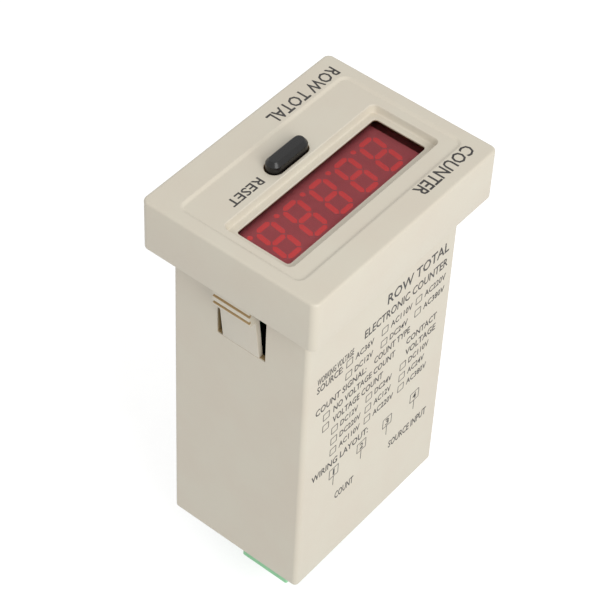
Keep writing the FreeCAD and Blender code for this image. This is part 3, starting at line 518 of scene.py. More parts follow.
class Surface:
    """Faces gathered as arrays of corners and corner normals, then welded into one mesh."""

    def __init__(self) -> None:
        """Start empty."""
        self.parts: list[tuple[np.ndarray, np.ndarray, int]] = []

    def put(self, corners: np.ndarray, normals: np.ndarray, paint: int = 0) -> None:
        """Add faces.

        Args:
            corners: Places of the faces' corners in millimetres, (faces, k, 3).
            normals: Their normals, of the same shape or one that spreads to it.
            paint: Index of the material.
        """
        self.parts.append((corners, np.broadcast_to(normals, corners.shape), paint))

    def sweep(self, loop: Loop, profile: Sequence[Sequence[float]], paint: int = 0,
              skip: Sequence[int] = ()) -> tuple[np.ndarray, np.ndarray]:
        """Carry a profile of (outward offset, rise, radius) round a loop.

        A face's normal is the outward vector times the profile's rise less the loop's normal times its run.

        Args:
            loop: The path.
            profile: Corners of the profile, rounded where they give a radius.
            paint: Index of the material.
            skip: Segments of the loop that stay open.

        Returns:
            The first and the last ring.
        """
        line = eased(profile)
        rings = np.stack([loop.ring(float(a), float(b)) for a, b in line])
        steps = np.diff(line, axis=0)
        steps /= np.linalg.norm(steps, axis=1, keepdims=True)
        own = np.stack([steps[:, 1], -steps[:, 0]], 1)
        joint = (own[1:] * own[:-1]).sum(1, keepdims=True) > 0.8
        blend = own[1:] + own[:-1]
        blend /= np.maximum(np.linalg.norm(blend, axis=1, keepdims=True), NOTHING)
        start, end = own.copy(), own.copy()
        start[1:] = np.where(joint, blend, own[1:])
        end[:-1] = np.where(joint, blend, own[:-1])
        out = loop.outward()
        first = start[:, None, :1] * out + start[:, None, 1:] * loop.n
        last = end[:, None, :1] * out + end[:, None, 1:] * loop.n
        following = np.roll(np.arange(len(out)), -1)
        low, high = rings[:-1], rings[1:]
        corners = np.stack([low, low[:, following], high[:, following], high], 2)
        normals = np.stack([first, first[:, following], last[:, following], last], 2)
        kept = np.setdiff1d(np.arange(len(out)), np.array(skip, int))
        self.put(corners[:, kept].reshape(-1, 4, 3), normals[:, kept].reshape(-1, 4, 3), paint)
        return rings[0], rings[-1]

    def bridge(self, first: np.ndarray, second: np.ndarray, normal: np.ndarray) -> None:
        """Join two rings of as many points that lie in one plane."""
        corners = np.stack([first, np.roll(first, -1, 0), np.roll(second, -1, 0), second], 1)
        self.put(corners, normal)

    def cap(self, outline: np.ndarray, normal: np.ndarray, holes: Sequence[np.ndarray] = (),
            paint: int = 0) -> None:
        """Fill a flat outline, less its holes, with triangles that face along normal."""
        rings = [outline, *holes]
        points = np.concatenate(rings)
        found = tessellate_polygon([[Vector(point) for point in ring] for ring in rings])
        corners = points[np.array(found)]
        facing = np.cross(corners[:, 1] - corners[:, 0], corners[:, 2] - corners[:, 0]) @ normal
        corners = np.where(facing[:, None, None] < 0, corners[:, ::-1], corners)
        self.put(corners[np.abs(facing) > NOTHING], normal, paint)

    def block(self, centre: Sequence[float], size: Sequence[float], edge: float) -> None:
        """Add a closed block.

        Args:
            centre: Its centre in millimetres.
            size: Its size along X, Y and Z.
            edge: Radius of its edges.
        """
        half = np.array(size) / 2
        loop = RoundedLoop(np.array(centre, float), half_u=half[0], half_v=half[1], corner=edge, steps=2)
        profile = [(-edge, -half[2]), (0, -half[2], edge), (0, half[2], edge), (-edge, half[2])]
        low, high = self.sweep(loop, profile)
        self.cap(low, -Z)
        self.cap(high, Z)

    def mesh(self, name: str, paints: Sequence[Finish | TintedAcrylic]) -> bpy.types.Object:
        """Weld what lies in one place and make the object, at the origin and in metres.

        Args:
            name: The piece's name.
            paints: Its materials in order.

        Returns:
            The object, linked to the scene.
        """
        places = np.concatenate([corners.reshape(-1, 3) for corners, _, _ in self.parts])
        normals = np.concatenate([given.reshape(-1, 3) for _, given, _ in self.parts])
        sizes = np.concatenate([np.full(len(corners), corners.shape[1]) for corners, _, _ in self.parts])
        slots = np.concatenate([np.full(len(corners), paint) for corners, _, paint in self.parts])
        cells = np.round(places / WELD).astype(np.int64)
        _, kept, which = np.unique(cells, axis=0, return_index=True, return_inverse=True)
        mesh = bpy.data.meshes.new(name)
        mesh.vertices.add(len(kept))
        mesh.vertices.foreach_set("co", (places[kept] * MM).ravel())
        mesh.loops.add(len(which))
        mesh.loops.foreach_set("vertex_index", which.ravel())
        mesh.polygons.add(len(sizes))
        mesh.polygons.foreach_set("loop_start", np.concatenate([[0], np.cumsum(sizes)[:-1]]))
        mesh.polygons.foreach_set("material_index", slots)
        mesh.polygons.foreach_set("use_smooth", np.ones(len(sizes), bool))
        mesh.update(calc_edges=True)
        mesh.normals_split_custom_set(normals)
        for finish in paints:
            mesh.materials.append(PAINTS.get(finish))
        made = bpy.data.objects.new(name, mesh)
        bpy.context.collection.objects.link(made)
        return made


def settle(piece: bpy.types.Object, body: str, nodes: Sequence[str] = ()) -> None:
    """Let a finished piece ride on its body, log its face count and hide the plain nodes that it stands for.

    Args:
        piece: The object.
        body: The moving body that it belongs to.
        nodes: The nodes that it replaces.
    """
    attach(piece, body)
    if nodes:
        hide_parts(*nodes)
    log.info("%s: %d faces on %s", piece.name, len(piece.data.polygons), body)


def middle(node: str) -> np.ndarray:
    """The centre of a node's box, in millimetres."""
    low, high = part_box(node)
    return (np.array(low) + np.array(high)) / 2 / MM


def span(node: str) -> np.ndarray:
    """The size of a node's box, in millimetres."""
    low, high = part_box(node)
    return (np.array(high) - np.array(low)) / MM


def levels(node: str) -> tuple[float, float]:
    """The lower and the upper level of a node's box, in millimetres."""
    low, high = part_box(node)
    return float(low[2]) / MM, float(high[2]) / MM


# ------------------------------------------------------------------ bezel, lens and key


@dataclass(frozen=True)
class Bezel:
    """The front moulding, with its sizes in millimetres.

    Attributes:
        corner: Radius of the upright corners.
        edge: Radius round the face.
        skirt: Wall of the skirt.
        rim: Width of the raised rim that meets the panel.
        rim_step: Height of that rim.
        plate: Thickness of the face plate.
        panel: Half sizes and corner radius of the sunk panel.
        panel_y: Its centre along Y.
        panel_slope: How far its border slopes outwards.
        sink: Depth of the sunk panel.
        recess: Half sizes and corner radius of the window recess.
        recess_sink: Depth of the recess below the sunk panel.
        window: Half sizes and corner radius of the clear window.
        window_at: Its centre.
        ledge: Thickness of the ledge round the window.
        pocket: Half sizes and corner radius of the lens pocket.
        pocket_wall: Wall round the lens pocket.
        keyway_play: Play round the key.
        collar: Inner half sizes and corner radius of the collar that takes the housing.
        collar_wall: Its wall.
        collar_level: Level of its lower edge.
        snap: Half sizes and corner radius of the slots that take the snap bumps.
        snap_at: Their places along X and Z.
        post_at: Places of the board posts along X and Y.
        post: Radii of a post and of its pilot hole.
        post_level: Level of the posts' ends.
        pilot_depth: Depth of the pilot holes.
        slot_margin: Height of the bands above and below the slotted part of the collar's long walls.
    """

    corner: float = 2.0
    edge: float = 0.7
    skirt: float = 2.2
    rim: float = 1.1
    rim_step: float = 0.4
    plate: float = 2.6
    panel: tuple[float, float, float] = (31.55, 18.45, 1.8)
    panel_y: float = 0.3
    panel_slope: float = 0.8
    sink: float = 0.5
    recess: tuple[float, float, float] = (28.85, 10.15, 1.3)
    recess_sink: float = 2.2
    window: tuple[float, float, float] = (27.0, 8.15, 1.0)
    window_at: tuple[float, float] = (0.3, 3.8)
    ledge: float = 0.9
    pocket: tuple[float, float, float] = (28.6, 9.8, 0.9)
    pocket_wall: float = 1.2
    keyway_play: float = 0.3
    collar: tuple[float, float, float] = (30.65, 22.0, 1.6)
    collar_wall: float = 1.4
    collar_level: float = 1.0
    snap: tuple[float, float, float] = (4.3, 1.5, 0.2)
    snap_at: tuple[float, float] = (18.0, 5.7)
    post_at: tuple[float, float] = (25.2, 16.2)
    post: tuple[float, float] = (2.4, 0.85)
    post_level: float = 4.0
    pilot_depth: float = 6.0
    slot_margin: float = 0.6

    @property
    def depth(self) -> float:
        """Level of the face above the panel seat."""
        return span("front_bezel")[2]

    def loop(self, sizes: tuple[float, float, float], x: float = 0.0, y: float = 0.0) -> RoundedLoop:
        """A rounded rectangle about a place on the face."""
        return RoundedLoop(np.array([x, y, 0.0]), half_u=sizes[0], half_v=sizes[1], corner=sizes[2])

    def face(self, form: Surface) -> tuple[np.ndarray, list[np.ndarray]]:
        """Build skirt, face, sunk panel, recess, window and lens pocket.

        Args:
            form: The surface to add to.

        Returns:
            The skirt's inner ring and the rings that pass through the face plate, all at its underside.
        """
        top, inner = self.depth, self.depth - self.plate
        length, width, _ = span("front_bezel")
        outer = self.loop((length / 2, width / 2, self.corner))
        skirt, brow = form.sweep(outer, [
            (-self.skirt, inner), (-self.skirt, self.rim_step, 0.2), (-self.rim, self.rim_step, 0.1),
            (-self.rim, 0, 0.12), (0, 0, 0.4), (0, top, self.edge), (-1, top)])
        low = top - self.sink
        brim, panel = form.sweep(self.loop(self.panel, 0, self.panel_y), [
            (self.panel_slope + 0.5, top), (self.panel_slope, top, 0.7), (0, low, 0.7), (-1, low)])
        form.bridge(brow, brim, Z)
        floor = low - self.recess_sink
        mouth, bottom = form.sweep(self.loop(self.recess, *self.window_at), [
            (0.8, low), (0.45, low, 0.35), (0, floor, 0.5), (-1.0, floor)])
        seat = floor - self.ledge
        lip, sill = form.sweep(self.loop(self.window, *self.window_at), [
            (0.3, floor), (0, floor, 0.15), (0, seat)])
        form.bridge(bottom, lip, Z)
        lens_back = seat - span("window_lens")[2]
        shelf, wall = form.sweep(self.loop(self.pocket, *self.window_at), [
            (0, seat), (0, lens_back), (self.pocket_wall, lens_back), (self.pocket_wall, inner)])
        form.bridge(shelf, sill, -Z)
        keyhole = ResetKey().loop(self.keyway_play)
        keyway, passage = form.sweep(keyhole, [(0.5, low), (0, low, 0.25), (0, inner)])
        form.cap(panel, Z, [mouth, keyway])
        return skirt, [wall, passage]

    def posts(self, form: Surface) -> list[np.ndarray]:
        """Build the four board posts with their pilot holes.

        Args:
            form: The surface to add to.

        Returns:
            Their rings at the underside of the face plate.
        """
        rings = []
        radius, pilot = self.post
        for x in (-self.post_at[0], self.post_at[0]):
            for y in (-self.post_at[1], self.post_at[1]):
                wall = self.loop((radius, radius, radius - ROUND_FLAT), x, y)
                end, ring = form.sweep(wall, [(-0.4, self.post_level), (0, self.post_level, 0.2),
                                              (0, self.depth - self.plate)])
                hole = self.loop((pilot, pilot, pilot - ROUND_FLAT), x, y)
                deep, lip = form.sweep(hole, [(0, self.post_level + self.pilot_depth), (0, self.post_level)])
                form.bridge(lip, end, -Z)
                form.cap(deep, -Z)
                rings.append(ring)
        return rings

    def ring_of_collar(self, form: Surface) -> tuple[np.ndarray, np.ndarray]:
        """Build the collar, with slots for the snap bumps in its long walls.

        Args:
            form: The surface to add to.

        Returns:
            Its inner and its outer ring at the underside of the face plate.
        """
        inner = self.depth - self.plate
        collar = self.loop(self.collar)
        sides = (collar.side(1), collar.side(3))
        low, high, step = self.collar_level, inner, self.slot_margin
        inside, _ = form.sweep(collar, [(0, high), (0, high - step)])
        form.sweep(collar, [(0, high - step), (0, low + step)], skip=sides)
        form.sweep(collar, [(0, low + step), (0, low, 0.15), (self.collar_wall, low, 0.15),
                            (self.collar_wall, low + step)])
        form.sweep(collar, [(self.collar_wall, low + step), (self.collar_wall, high - step)], skip=sides)
        _, outside = form.sweep(collar, [(self.collar_wall, high - step), (self.collar_wall, high)])
        for side in (-1, 1):
            walls = {}
            for offset in (0.0, self.collar_wall):
                reach = self.collar[0] + offset - max(self.collar[2] + offset, LEAST_CORNER)
                y = side * (self.collar[1] + offset)
                walls[offset] = np.array([(-reach, y, low + step), (reach, y, low + step),
                                          (reach, y, high - step), (-reach, y, high - step)])
            slots = []
            for x in (-self.snap_at[0], self.snap_at[0]):
                slot = RoundedLoop(np.array([x, side * (self.collar[1] + self.collar_wall), self.snap_at[1]]),
                                   -side * X, Z, *self.snap)
                slots.append(form.sweep(slot, [(0, 0), (0, -self.collar_wall)]))
            form.cap(walls[self.collar_wall], side * Y, [outer for outer, _ in slots])
            form.cap(walls[0.0], -side * Y, [inner_ring for _, inner_ring in slots])
        return inside, outside

    def dress(self) -> None:
        """Build the moulding and hand it to the frame."""
        form = Surface()
        skirt, through = self.face(form)
        inside, outside = self.ring_of_collar(form)
        form.bridge(outside, skirt, -Z)
        form.cap(inside, -Z, [*through, *self.posts(form)])
        settle(form.mesh("bezel_moulding", [CASE_ABS]), "case", ["front_bezel"])


@dataclass(frozen=True)
class Lens:
    """The red filter behind the window.

    Attributes:
        corner: Radius of its corners in millimetres.
        edge: Radius of its broken edges.
    """

    corner: float = 0.9
    edge: float = 0.12

    def dress(self) -> None:
        """Build the slab and hand it to the frame."""
        length, width, plate = span("window_lens")
        centre = middle("window_lens")
        loop = RoundedLoop(centre, half_u=length / 2, half_v=width / 2, corner=self.corner)
        form = Surface()
        half = plate / 2
        low, high = form.sweep(loop, [
            (-0.4, -half), (0, -half, self.edge), (0, half, self.edge), (-0.4, half)])
        form.cap(low, -Z)
        form.cap(high, Z)
        settle(form.mesh("lens_filter", [TintedAcrylic()]), "case", ["window_lens"])


@dataclass(frozen=True)
class ResetKey:
    """The oblong key cap.

    Attributes:
        flange: How far the flange that keeps it in stands out, in millimetres.
        flange_plate: The flange's thickness.
        slope: Height of the sloped band under the top.
        shoulder: How far that band leans in.
        socket: Radius of the socket for the stem.
        socket_depth: Its depth.
    """

    flange: float = 0.75
    flange_plate: float = 1.2
    slope: float = 1.2
    shoulder: float = 0.9
    socket: float = 1.6
    socket_depth: float = 2.2

    def loop(self, play: float = 0.0) -> RoundedLoop:
        """The cap's outline.

        Args:
            play: How much wider it is all round, in millimetres.

        Returns:
            The outline at level 0.
        """
        length, width, _ = span("reset_key_cap") - 2 * self.flange
        half_u, half_v = length / 2 + play, width / 2 + play
        x, y, _ = middle("reset_key_cap")
        return RoundedLoop(np.array([x, y, 0.0]), half_u=half_u, half_v=half_v, corner=half_v - ROUND_FLAT)

    def dress(self) -> None:
        """Build the cap and hand it to the frame."""
        low, high = levels("reset_key_cap")
        ledge = low + self.flange_plate
        form = Surface()
        foot, crown = form.sweep(self.loop(), [
            (-0.2, low), (self.flange, low, 0.15), (self.flange, ledge, 0.15), (0, ledge, 0.1),
            (0, high - self.slope, 0.2), (-self.shoulder, high, 0.15), (-self.shoulder - 0.4, high)])
        form.cap(crown, Z)
        hole = RoundedLoop(self.loop().centre, half_u=self.socket, half_v=self.socket,
                           corner=self.socket - ROUND_FLAT)
        ceiling, lip = form.sweep(hole, [(0, low + self.socket_depth), (0, low)])
        form.cap(ceiling, -Z)
        form.cap(foot, -Z, [lip])
        settle(form.mesh("key_moulding", [KEY_ABS]), "reset_key", ["reset_key_cap"])


# ------------------------------------------------------------------ housing and latches


@dataclass(frozen=True)
class Housing:
    """The deep box behind the panel, with its sizes in millimetres.

    Attributes:
        width: Outer size along Y, without the snap bumps.
        corner: Radius of the upright corners.
        edge: Radius round the base.
        wall: Thickness of the walls.
        floor: Thickness of the base.
        slot: Half sizes and corner radius of the latch slots.
        slot_level: Middle of the slots.
        lip: How far into a slot the plastic keeps its plain colour; deeper in, its walls take painted shade.
        header_play: Play round the terminal header in the base opening.
        bump: Size of a snap bump.
        bump_at: Its places along X and Z.
        rib: Size of a board rib along X and Y.
        rib_span: Lower and upper level of the ribs.
        rib_ys: Their places along Y.
    """

    width: float = 43.6
    corner: float = 1.4
    edge: float = 0.5
    wall: float = 1.8
    floor: float = 2.0
    slot: tuple[float, float, float] = (7.8, 11.0, 0.2)
    slot_level: float = -10.4
    lip: float = 0.4
    header_play: float = 0.4
    bump: tuple[float, float, float] = (8.0, 1.0, 2.4)
    bump_at: tuple[float, float] = (18.0, 5.7)
    rib: tuple[float, float] = (1.6, 1.4)
    rib_span: tuple[float, float] = (-102.2, -24.0)
    rib_ys: tuple[float, float] = (-6.85, -3.55)

    def shell(self, form: Surface) -> None:
        """Build the box: a profile round the upright walls, with a slotted flat face at each end along X.

        Args:
            form: The surface to add to.
        """
        half = span("housing")[0] / 2
        low, high = levels("housing")
        loop = RoundedLoop(np.zeros(3), half_u=half, half_v=self.width / 2, corner=self.corner)
        ends = (loop.side(0), loop.side(2))
        step = 1.0
        base, _ = form.sweep(loop, [(-1.5, low), (0, low, self.edge), (0, low + step)])
        form.sweep(loop, [(0, low + step), (0, high - step)], skip=ends)
        form.sweep(loop, [(0, high - step), (0, high, 0.2),
                          (-self.wall, high, 0.2), (-self.wall, high - step)])
        inner_low = low + self.floor + 0.4
        form.sweep(loop, [(-self.wall, high - step), (-self.wall, inner_low)], skip=ends)
        _, floor = form.sweep(loop, [(-self.wall, inner_low), (-self.wall, low + self.floor, 0.15),
                                     (-self.wall - 1, low + self.floor)])
        length, width, _ = span("terminal_header")
        mouth = RoundedLoop(np.array([0.0, middle("terminal_header")[1], 0.0]), corner=0.5,
                            half_u=length / 2 + self.header_play, half_v=width / 2 + self.header_play)
        above, below = form.sweep(mouth, [(0.3, low + self.floor), (0, low + self.floor, 0.1), (0, low, 0.1),
                                          (0.3, low)])
        form.bridge(floor, above, Z)
        form.bridge(base, below, -Z)
        inner_half = self.width / 2 - self.wall - LEAST_CORNER
        for side in (-1, 1):
            centre = np.array([side * half, middle("latch_right")[1], self.slot_level])
            slot = RoundedLoop(centre, side * Y, Z, *self.slot)
            outer, _ = form.sweep(slot, [(0.2, 0), (0, 0, 0.1), (0, -self.lip)])
            # Deeper in, the slot's walls take the plastic with painted shade.
            _, inner = form.sweep(slot, [(0, -self.lip), (0, -self.wall, 0.1), (0.2, -self.wall)], SHADE_PAINT_INDEX)
            flat = self.width / 2 - self.corner
            form.cap(self.end(side * half, flat, low + step, high - step), side * X, [outer])
            behind = self.end(side * (half - self.wall), inner_half, inner_low, high - step)
            form.cap(behind, -side * X, [inner])

    def end(self, x: float, half: float, low: float, high: float) -> np.ndarray:
        """The four corners of a flat end face."""
        return np.array([(x, -half, low), (x, half, low), (x, half, high), (x, -half, high)])

    def dress(self) -> None:
        """Build the housing with bumps and ribs and hand it to the frame."""
        form = Surface()
        self.shell(form)
        inner = span("housing")[0] / 2 - self.wall
        bump_y = self.width / 2 + self.bump[1] / 2 - 0.1
        level, height = sum(self.rib_span) / 2, self.rib_span[1] - self.rib_span[0]
        for side in (-1, 1):
            for turn in (-1, 1):
                form.block((side * self.bump_at[0], turn * bump_y, self.bump_at[1]), self.bump, 0.15)
            for y in self.rib_ys:
                form.block((side * (inner - self.rib[0] / 2 + 0.1), y, level), (*self.rib, height), 0.1)
        settle(form.mesh("housing_moulding", [CASE_ABS, SLOT_SHADE_ABS]), "case", ["housing"])


@dataclass(frozen=True)
class Latch:
    """A springy tongue with a grooved head.

    Attributes:
        side: +1 or -1 along X.
        edge: Radius of its long edges in millimetres.
        root: Inner and outer place of its lower end along X, and its level.
        neck: Where the tongue meets the head.
        reach: How far out the head goes.
        top: Level of the head's top and where the tongue's inner face meets it.
        grooves: Levels of the grip grooves.
        groove: Depth of a groove, and its height at the bottom and at the mouth.
    """

    side: int
    edge: float = 0.05
    root: tuple[float, float, float] = (28.94, 30.45, -21.3)
    neck: tuple[float, float] = (32.2, -7.0)
    reach: float = 34.75
    top: tuple[float, float] = (31.46, -0.8)
    grooves: tuple[float, float] = (-5.15, -2.85)
    groove: tuple[float, float, float] = (0.6, 0.7, 1.05)

    def outline(self) -> np.ndarray:
        """Draw the side view from the root, round the head and its grooves, back to the root.

        Returns:
            Its points as (distance out, level), (n, 2).
        """
        inner, outer, level = self.root
        points = [(inner, level, 0.1), (outer, level, 0.1), (*self.neck, 0.3),
                  (self.reach - 0.4, self.neck[1], 0.9)]
        depth, half, mouth = self.groove[0], self.groove[1] / 2, self.groove[2] / 2
        for height in self.grooves:
            points += [(self.reach, height - mouth, 0.15), (self.reach - depth, height - half, 0.08),
                       (self.reach - depth, height + half, 0.08), (self.reach, height + mouth, 0.15)]
        points += [(self.reach, self.top[1], 0.4), (*self.top, 0.2)]
        return eased(points, closed=True)

    def dress(self) -> None:
        """Build the tongue and hand it to the frame."""
        name = "right" if self.side > 0 else "left"
        width = span(f"latch_{name}")[1]
        start = middle(f"latch_{name}")[1] + self.side * width / 2
        line = self.outline()
        loop = DrawnLoop(np.array([0, start, 0]), self.side * X, Z, line)
        x, z = ((line + np.roll(line, -1, 0)) / 2).T
        half = self.groove[2] / 2
        sunk = (x < self.reach - 0.05) & (z > self.grooves[0] - half) & (z < self.grooves[1] + half)
        inset = -self.edge - 0.01
        profile = [(inset, 0), (0, 0, self.edge), (0, width, self.edge), (inset, width)]
        form = Surface()
        first, last = form.sweep(loop, profile, skip=np.flatnonzero(sunk))
        # The groove faces take the plastic with painted shade.
        form.sweep(loop, profile, SHADE_PAINT_INDEX, np.flatnonzero(~sunk))
        form.cap(first, -loop.n)
        form.cap(last, loop.n)
        piece = form.mesh(f"latch_{name}_moulding", [CASE_ABS, GROOVE_SHADE_ABS])
        settle(piece, f"{name}_latch", [f"latch_{name}"])


# ------------------------------------------------------------------ display


class ModulePaint(IntEnum):
    """Places of the display module's finishes in its list of materials."""

    FACE = 0
    SEGMENT = 1
    SHELL = 2
    PIN = 3


@dataclass(frozen=True)
class Display:
    """The five-digit seven-segment module, with its sizes in millimetres.

    Attributes:
        count: How many figures it has.
        pitch: Distance between neighbouring figures.
        shift: Middle of the row from the module's middle along X.
        size: Width and height of a figure.
        bar: Width of a segment.
        gap: Clear space at each end of a segment.
        lean: Slant of a figure in degrees.
        dot: Place and radius of the decimal point.
        rise: Height of the module without its pins.
        skin: Thickness of the cast resin on its face.
        corner: Radius of its upright corners.
        pin: Radius of a pin.
        pins: How many pins a row has.
        pin_pitch: Distance between the pins of a row.
        pin_row: Distance of a row of pins from the middle.
    """

    count: int = 5
    pitch: float = 10.0
    shift: float = 0.6
    size: tuple[float, float] = (6.9, 12.7)
    bar: float = 1.5
    gap: float = 0.3
    lean: float = 8.0
    dot: tuple[float, float, float] = (4.1, -5.6, 0.75)
    rise: float = 7.0
    skin: float = 1.0
    corner: float = 0.3
    pin: float = 0.25
    pins: int = 7
    pin_pitch: float = 2.54
    pin_row: float = 6.5

    def strip(self, start: tuple[float, float], end: tuple[float, float]) -> np.ndarray:
        """Draw a segment: a bar with ends pointed at 45 degrees, then sheared.

        Args:
            start: The corner of the figure where it starts.
            end: The corner where it ends.

        Returns:
            Its outline, (n, 2).
        """
        first, last = np.array(start), np.array(end)
        along = (last - first) / np.linalg.norm(last - first)
        across = np.array([-along[1], along[0]]) * self.bar / 2
        first, last = first + along * self.gap, last - along * self.gap
        reach = along * self.bar / 2
        points = np.array([first, first + reach - across, last - reach - across, last, last - reach + across,
                           first + reach + across])
        points[:, 0] += points[:, 1] * math.tan(math.radians(self.lean))
        return eased([(*point, 0.2) for point in points], closed=True, steps=2)

    def shapes(self) -> list[np.ndarray]:
        """Draw one figure.

        Returns:
            The outlines of its seven segments and its decimal point.
        """
        x, y = (self.size[0] - self.bar) / 2, (self.size[1] - self.bar) / 2
        level = [((-x, rise), (x, rise)) for rise in (y, 0, -y)]
        upright = [((side, low), (side, low + y)) for low in (0, -y) for side in (-x, x)]
        angles = np.linspace(0, math.tau, 2 * ARC_STEPS, endpoint=False)
        dot = np.array(self.dot[:2]) + self.dot[2] * np.stack([np.cos(angles), np.sin(angles)], 1)
        return [*(self.strip(*pair) for pair in (*level, *upright)), dot]

    def dress(self) -> None:
        """Build the module, its flush segments and its pins, and hand it to the frame."""
        x, y, _ = middle("led_display")
        length, width, _ = span("led_display")
        low, high = levels("led_display")
        base = high - self.rise
        loop = RoundedLoop(np.array([x, y, 0.0]), half_u=length / 2, half_v=width / 2, corner=self.corner,
                           steps=2)
        form = Surface()
        profile = [(-0.3, base), (0, base, 0.1), (0, high - self.skin)]
        foot, _ = form.sweep(loop, profile, ModulePaint.SHELL)
        profile = [(0, high - self.skin), (0, high, 0.1), (-0.3, high)]
        _, face = form.sweep(loop, profile, ModulePaint.FACE)
        starts = x + self.shift + (np.arange(self.count) - (self.count - 1) / 2) * self.pitch
        rings = [np.column_stack([shape + (start, y), np.full(len(shape), high)])
                 for start in starts for shape in self.shapes()]
        form.cap(face, Z, rings, ModulePaint.FACE)
        for ring in rings:
            form.cap(ring, Z, paint=ModulePaint.SEGMENT)
        holes = []
        for row in (-self.pin_row, self.pin_row):
            for column in range(self.pins):
                spot = np.array([x + (column - (self.pins - 1) / 2) * self.pin_pitch, y + row, 0.0])
                pin = RoundedLoop(spot, half_u=self.pin, half_v=self.pin, corner=self.pin - ROUND_FLAT / 2,
                                  steps=2)
                end, ring = form.sweep(pin, [(-0.08, low), (0, low, 0.06), (0, base)], ModulePaint.PIN)
                form.cap(end, -Z, paint=ModulePaint.PIN)
                holes.append(ring)
        form.cap(foot, -Z, holes, ModulePaint.SHELL)
        piece = form.mesh("display_module", [DIGIT_RESIN, SEGMENT_RESIN, BLOCK_SIDE, TINNED_BRASS])
        settle(piece, "case", ["led_display"])


# ------------------------------------------------------------------ printing


@dataclass(frozen=True)
class Line:
    """One line of lettering, in millimetres on its own side.

    Attributes:
        text: The words.
        left: Where they start.
        right: Where they end.
        low: Their lower edge.
        high: The top of their capitals.
    """

    text: str
    left: float
    right: float
    low: float
    high: float


def set_type(text: str, weight: float) -> tuple[np.ndarray, np.ndarray]:
    """Set words in the plain face as thick letters.

    Args:
        text: The words.
        weight: How much bolder than the plain face they are, in parts of their height.

    Returns:
        The places of the vertices, (n, 3), and the vertices of each triangle, (m, 3).
    """
    curve = bpy.data.curves.new("type", "FONT")
    curve.body = text
    curve.resolution_u = 2
    curve.offset = weight
    curve.extrude = 0.5
    holder = bpy.data.objects.new("type", curve)
    bpy.context.collection.objects.link(holder)
    bpy.context.view_layer.update()
    mesh = bpy.data.meshes.new_from_object(holder.evaluated_get(bpy.context.evaluated_depsgraph_get()))
    mesh.calc_loop_triangles()
    places = np.zeros(len(mesh.vertices) * 3)
    mesh.vertices.foreach_get("co", places)
    triangles = np.zeros(len(mesh.loop_triangles) * 3, np.int32)
    mesh.loop_triangles.foreach_get("vertices", triangles)
    bpy.data.objects.remove(holder)
    bpy.data.meshes.remove(mesh)
    bpy.data.curves.remove(curve)
    return places.reshape(-1, 3), triangles.reshape(-1, 3)


@dataclass(frozen=True)
class Side:
    """A flat side that takes printing.

    Attributes:
        origin: A point of the side, in millimetres.
        u: Reading direction.
        v: Upward direction of the letters.
        film: Thickness of the ink.
        stroke: Width of drawn lines.
        weight: How much bolder than the plain face the letters are, in parts of their height.
    """

    origin: np.ndarray
    u: np.ndarray
    v: np.ndarray
    film: float = 0.03
    stroke: float = 0.22
    weight: float = 0.012

    @property
    def n(self) -> np.ndarray:
        """The side's outward normal."""
        return np.cross(self.u, self.v)

    def letter(self, form: Surface, line: Line) -> None:
        """Set a line of type: the letters, stretched to the line's box, become a film of ink.

        Args:
            form: The surface to add to.
            line: The words and their box.
        """
        places, triangles = set_type(line.text, self.weight)
        low, high = places.min(0), places.max(0)
        across, up, out = ((places - low) / (high - low)).T
        across = line.left + across * (line.right - line.left)
        up = line.low + up * (line.high - line.low)
        out = out * self.film
        spots = self.origin + across[:, None] * self.u + up[:, None] * self.v + out[:, None] * self.n
        corners = spots[triangles]
        normals = np.cross(corners[:, 1] - corners[:, 0], corners[:, 2] - corners[:, 0])
        lengths = np.linalg.norm(normals, axis=1)
        sound = lengths > NOTHING
        form.put(corners[sound], (normals[sound] / lengths[sound, None])[:, None])

    def box(self, left: float, right: float, low: float, high: float, corner: float) -> RoundedLoop:
        """The outline of a box on the side."""
        centre = self.origin + (left + right) / 2 * self.u + (low + high) / 2 * self.v
        return RoundedLoop(centre, self.u, self.v, (right - left) / 2, (high - low) / 2, corner, 1)

    def frame(self, form: Surface, left: float, right: float, low: float, high: float) -> None:
        """Draw a box as a closed film of ink along its outline."""
        section = [(-self.stroke, 0), (0, 0), (0, self.film), (-self.stroke, self.film), (-self.stroke, 0)]
        form.sweep(self.box(left, right, low, high, 0.15), section)

    def dash(self, form: Surface, left: float, right: float, low: float, high: float) -> None:
        """Draw a filled bar.

        Args:
            form: The surface to add to.
            left: Its left side.
            right: Its right side.
            low: Its lower side.
            high: Its upper side.
        """
        first, last = form.sweep(self.box(left, right, low, high, 0.05), [(0, 0), (0, self.film)])
        form.cap(first, -self.n)
        form.cap(last, self.n)


@dataclass(frozen=True)
class FacePrint:
    """Printing on the bezel: what the counter is, what its key does, and a general title below.

    Attributes:
        lines: Lettering on the raised border.
        sunk_lines: Lettering on the sunk panel.
    """

    lines: tuple[Line, ...] = (
        Line("COUNTER", -31.6, -9.9, 19.9, 23.6),
        Line("ROW TOTAL", -32.1, -6.3, -23.5, -19.7),
    )
    sunk_lines: tuple[Line, ...] = (Line("RESET", 11.1, 22.8, -11.5, -8.7),)

    def dress(self) -> None:
        """Set the lines and hand them to the frame."""
        bezel = Bezel()
        form = Surface()
        for level, lines in ((bezel.depth, self.lines), (bezel.depth - bezel.sink, self.sunk_lines)):
            for line in lines:
                Side(np.array([0, 0, level]), X, Y).letter(form, line)
        settle(form.mesh("face_print", [PRINT_INK]), "case")


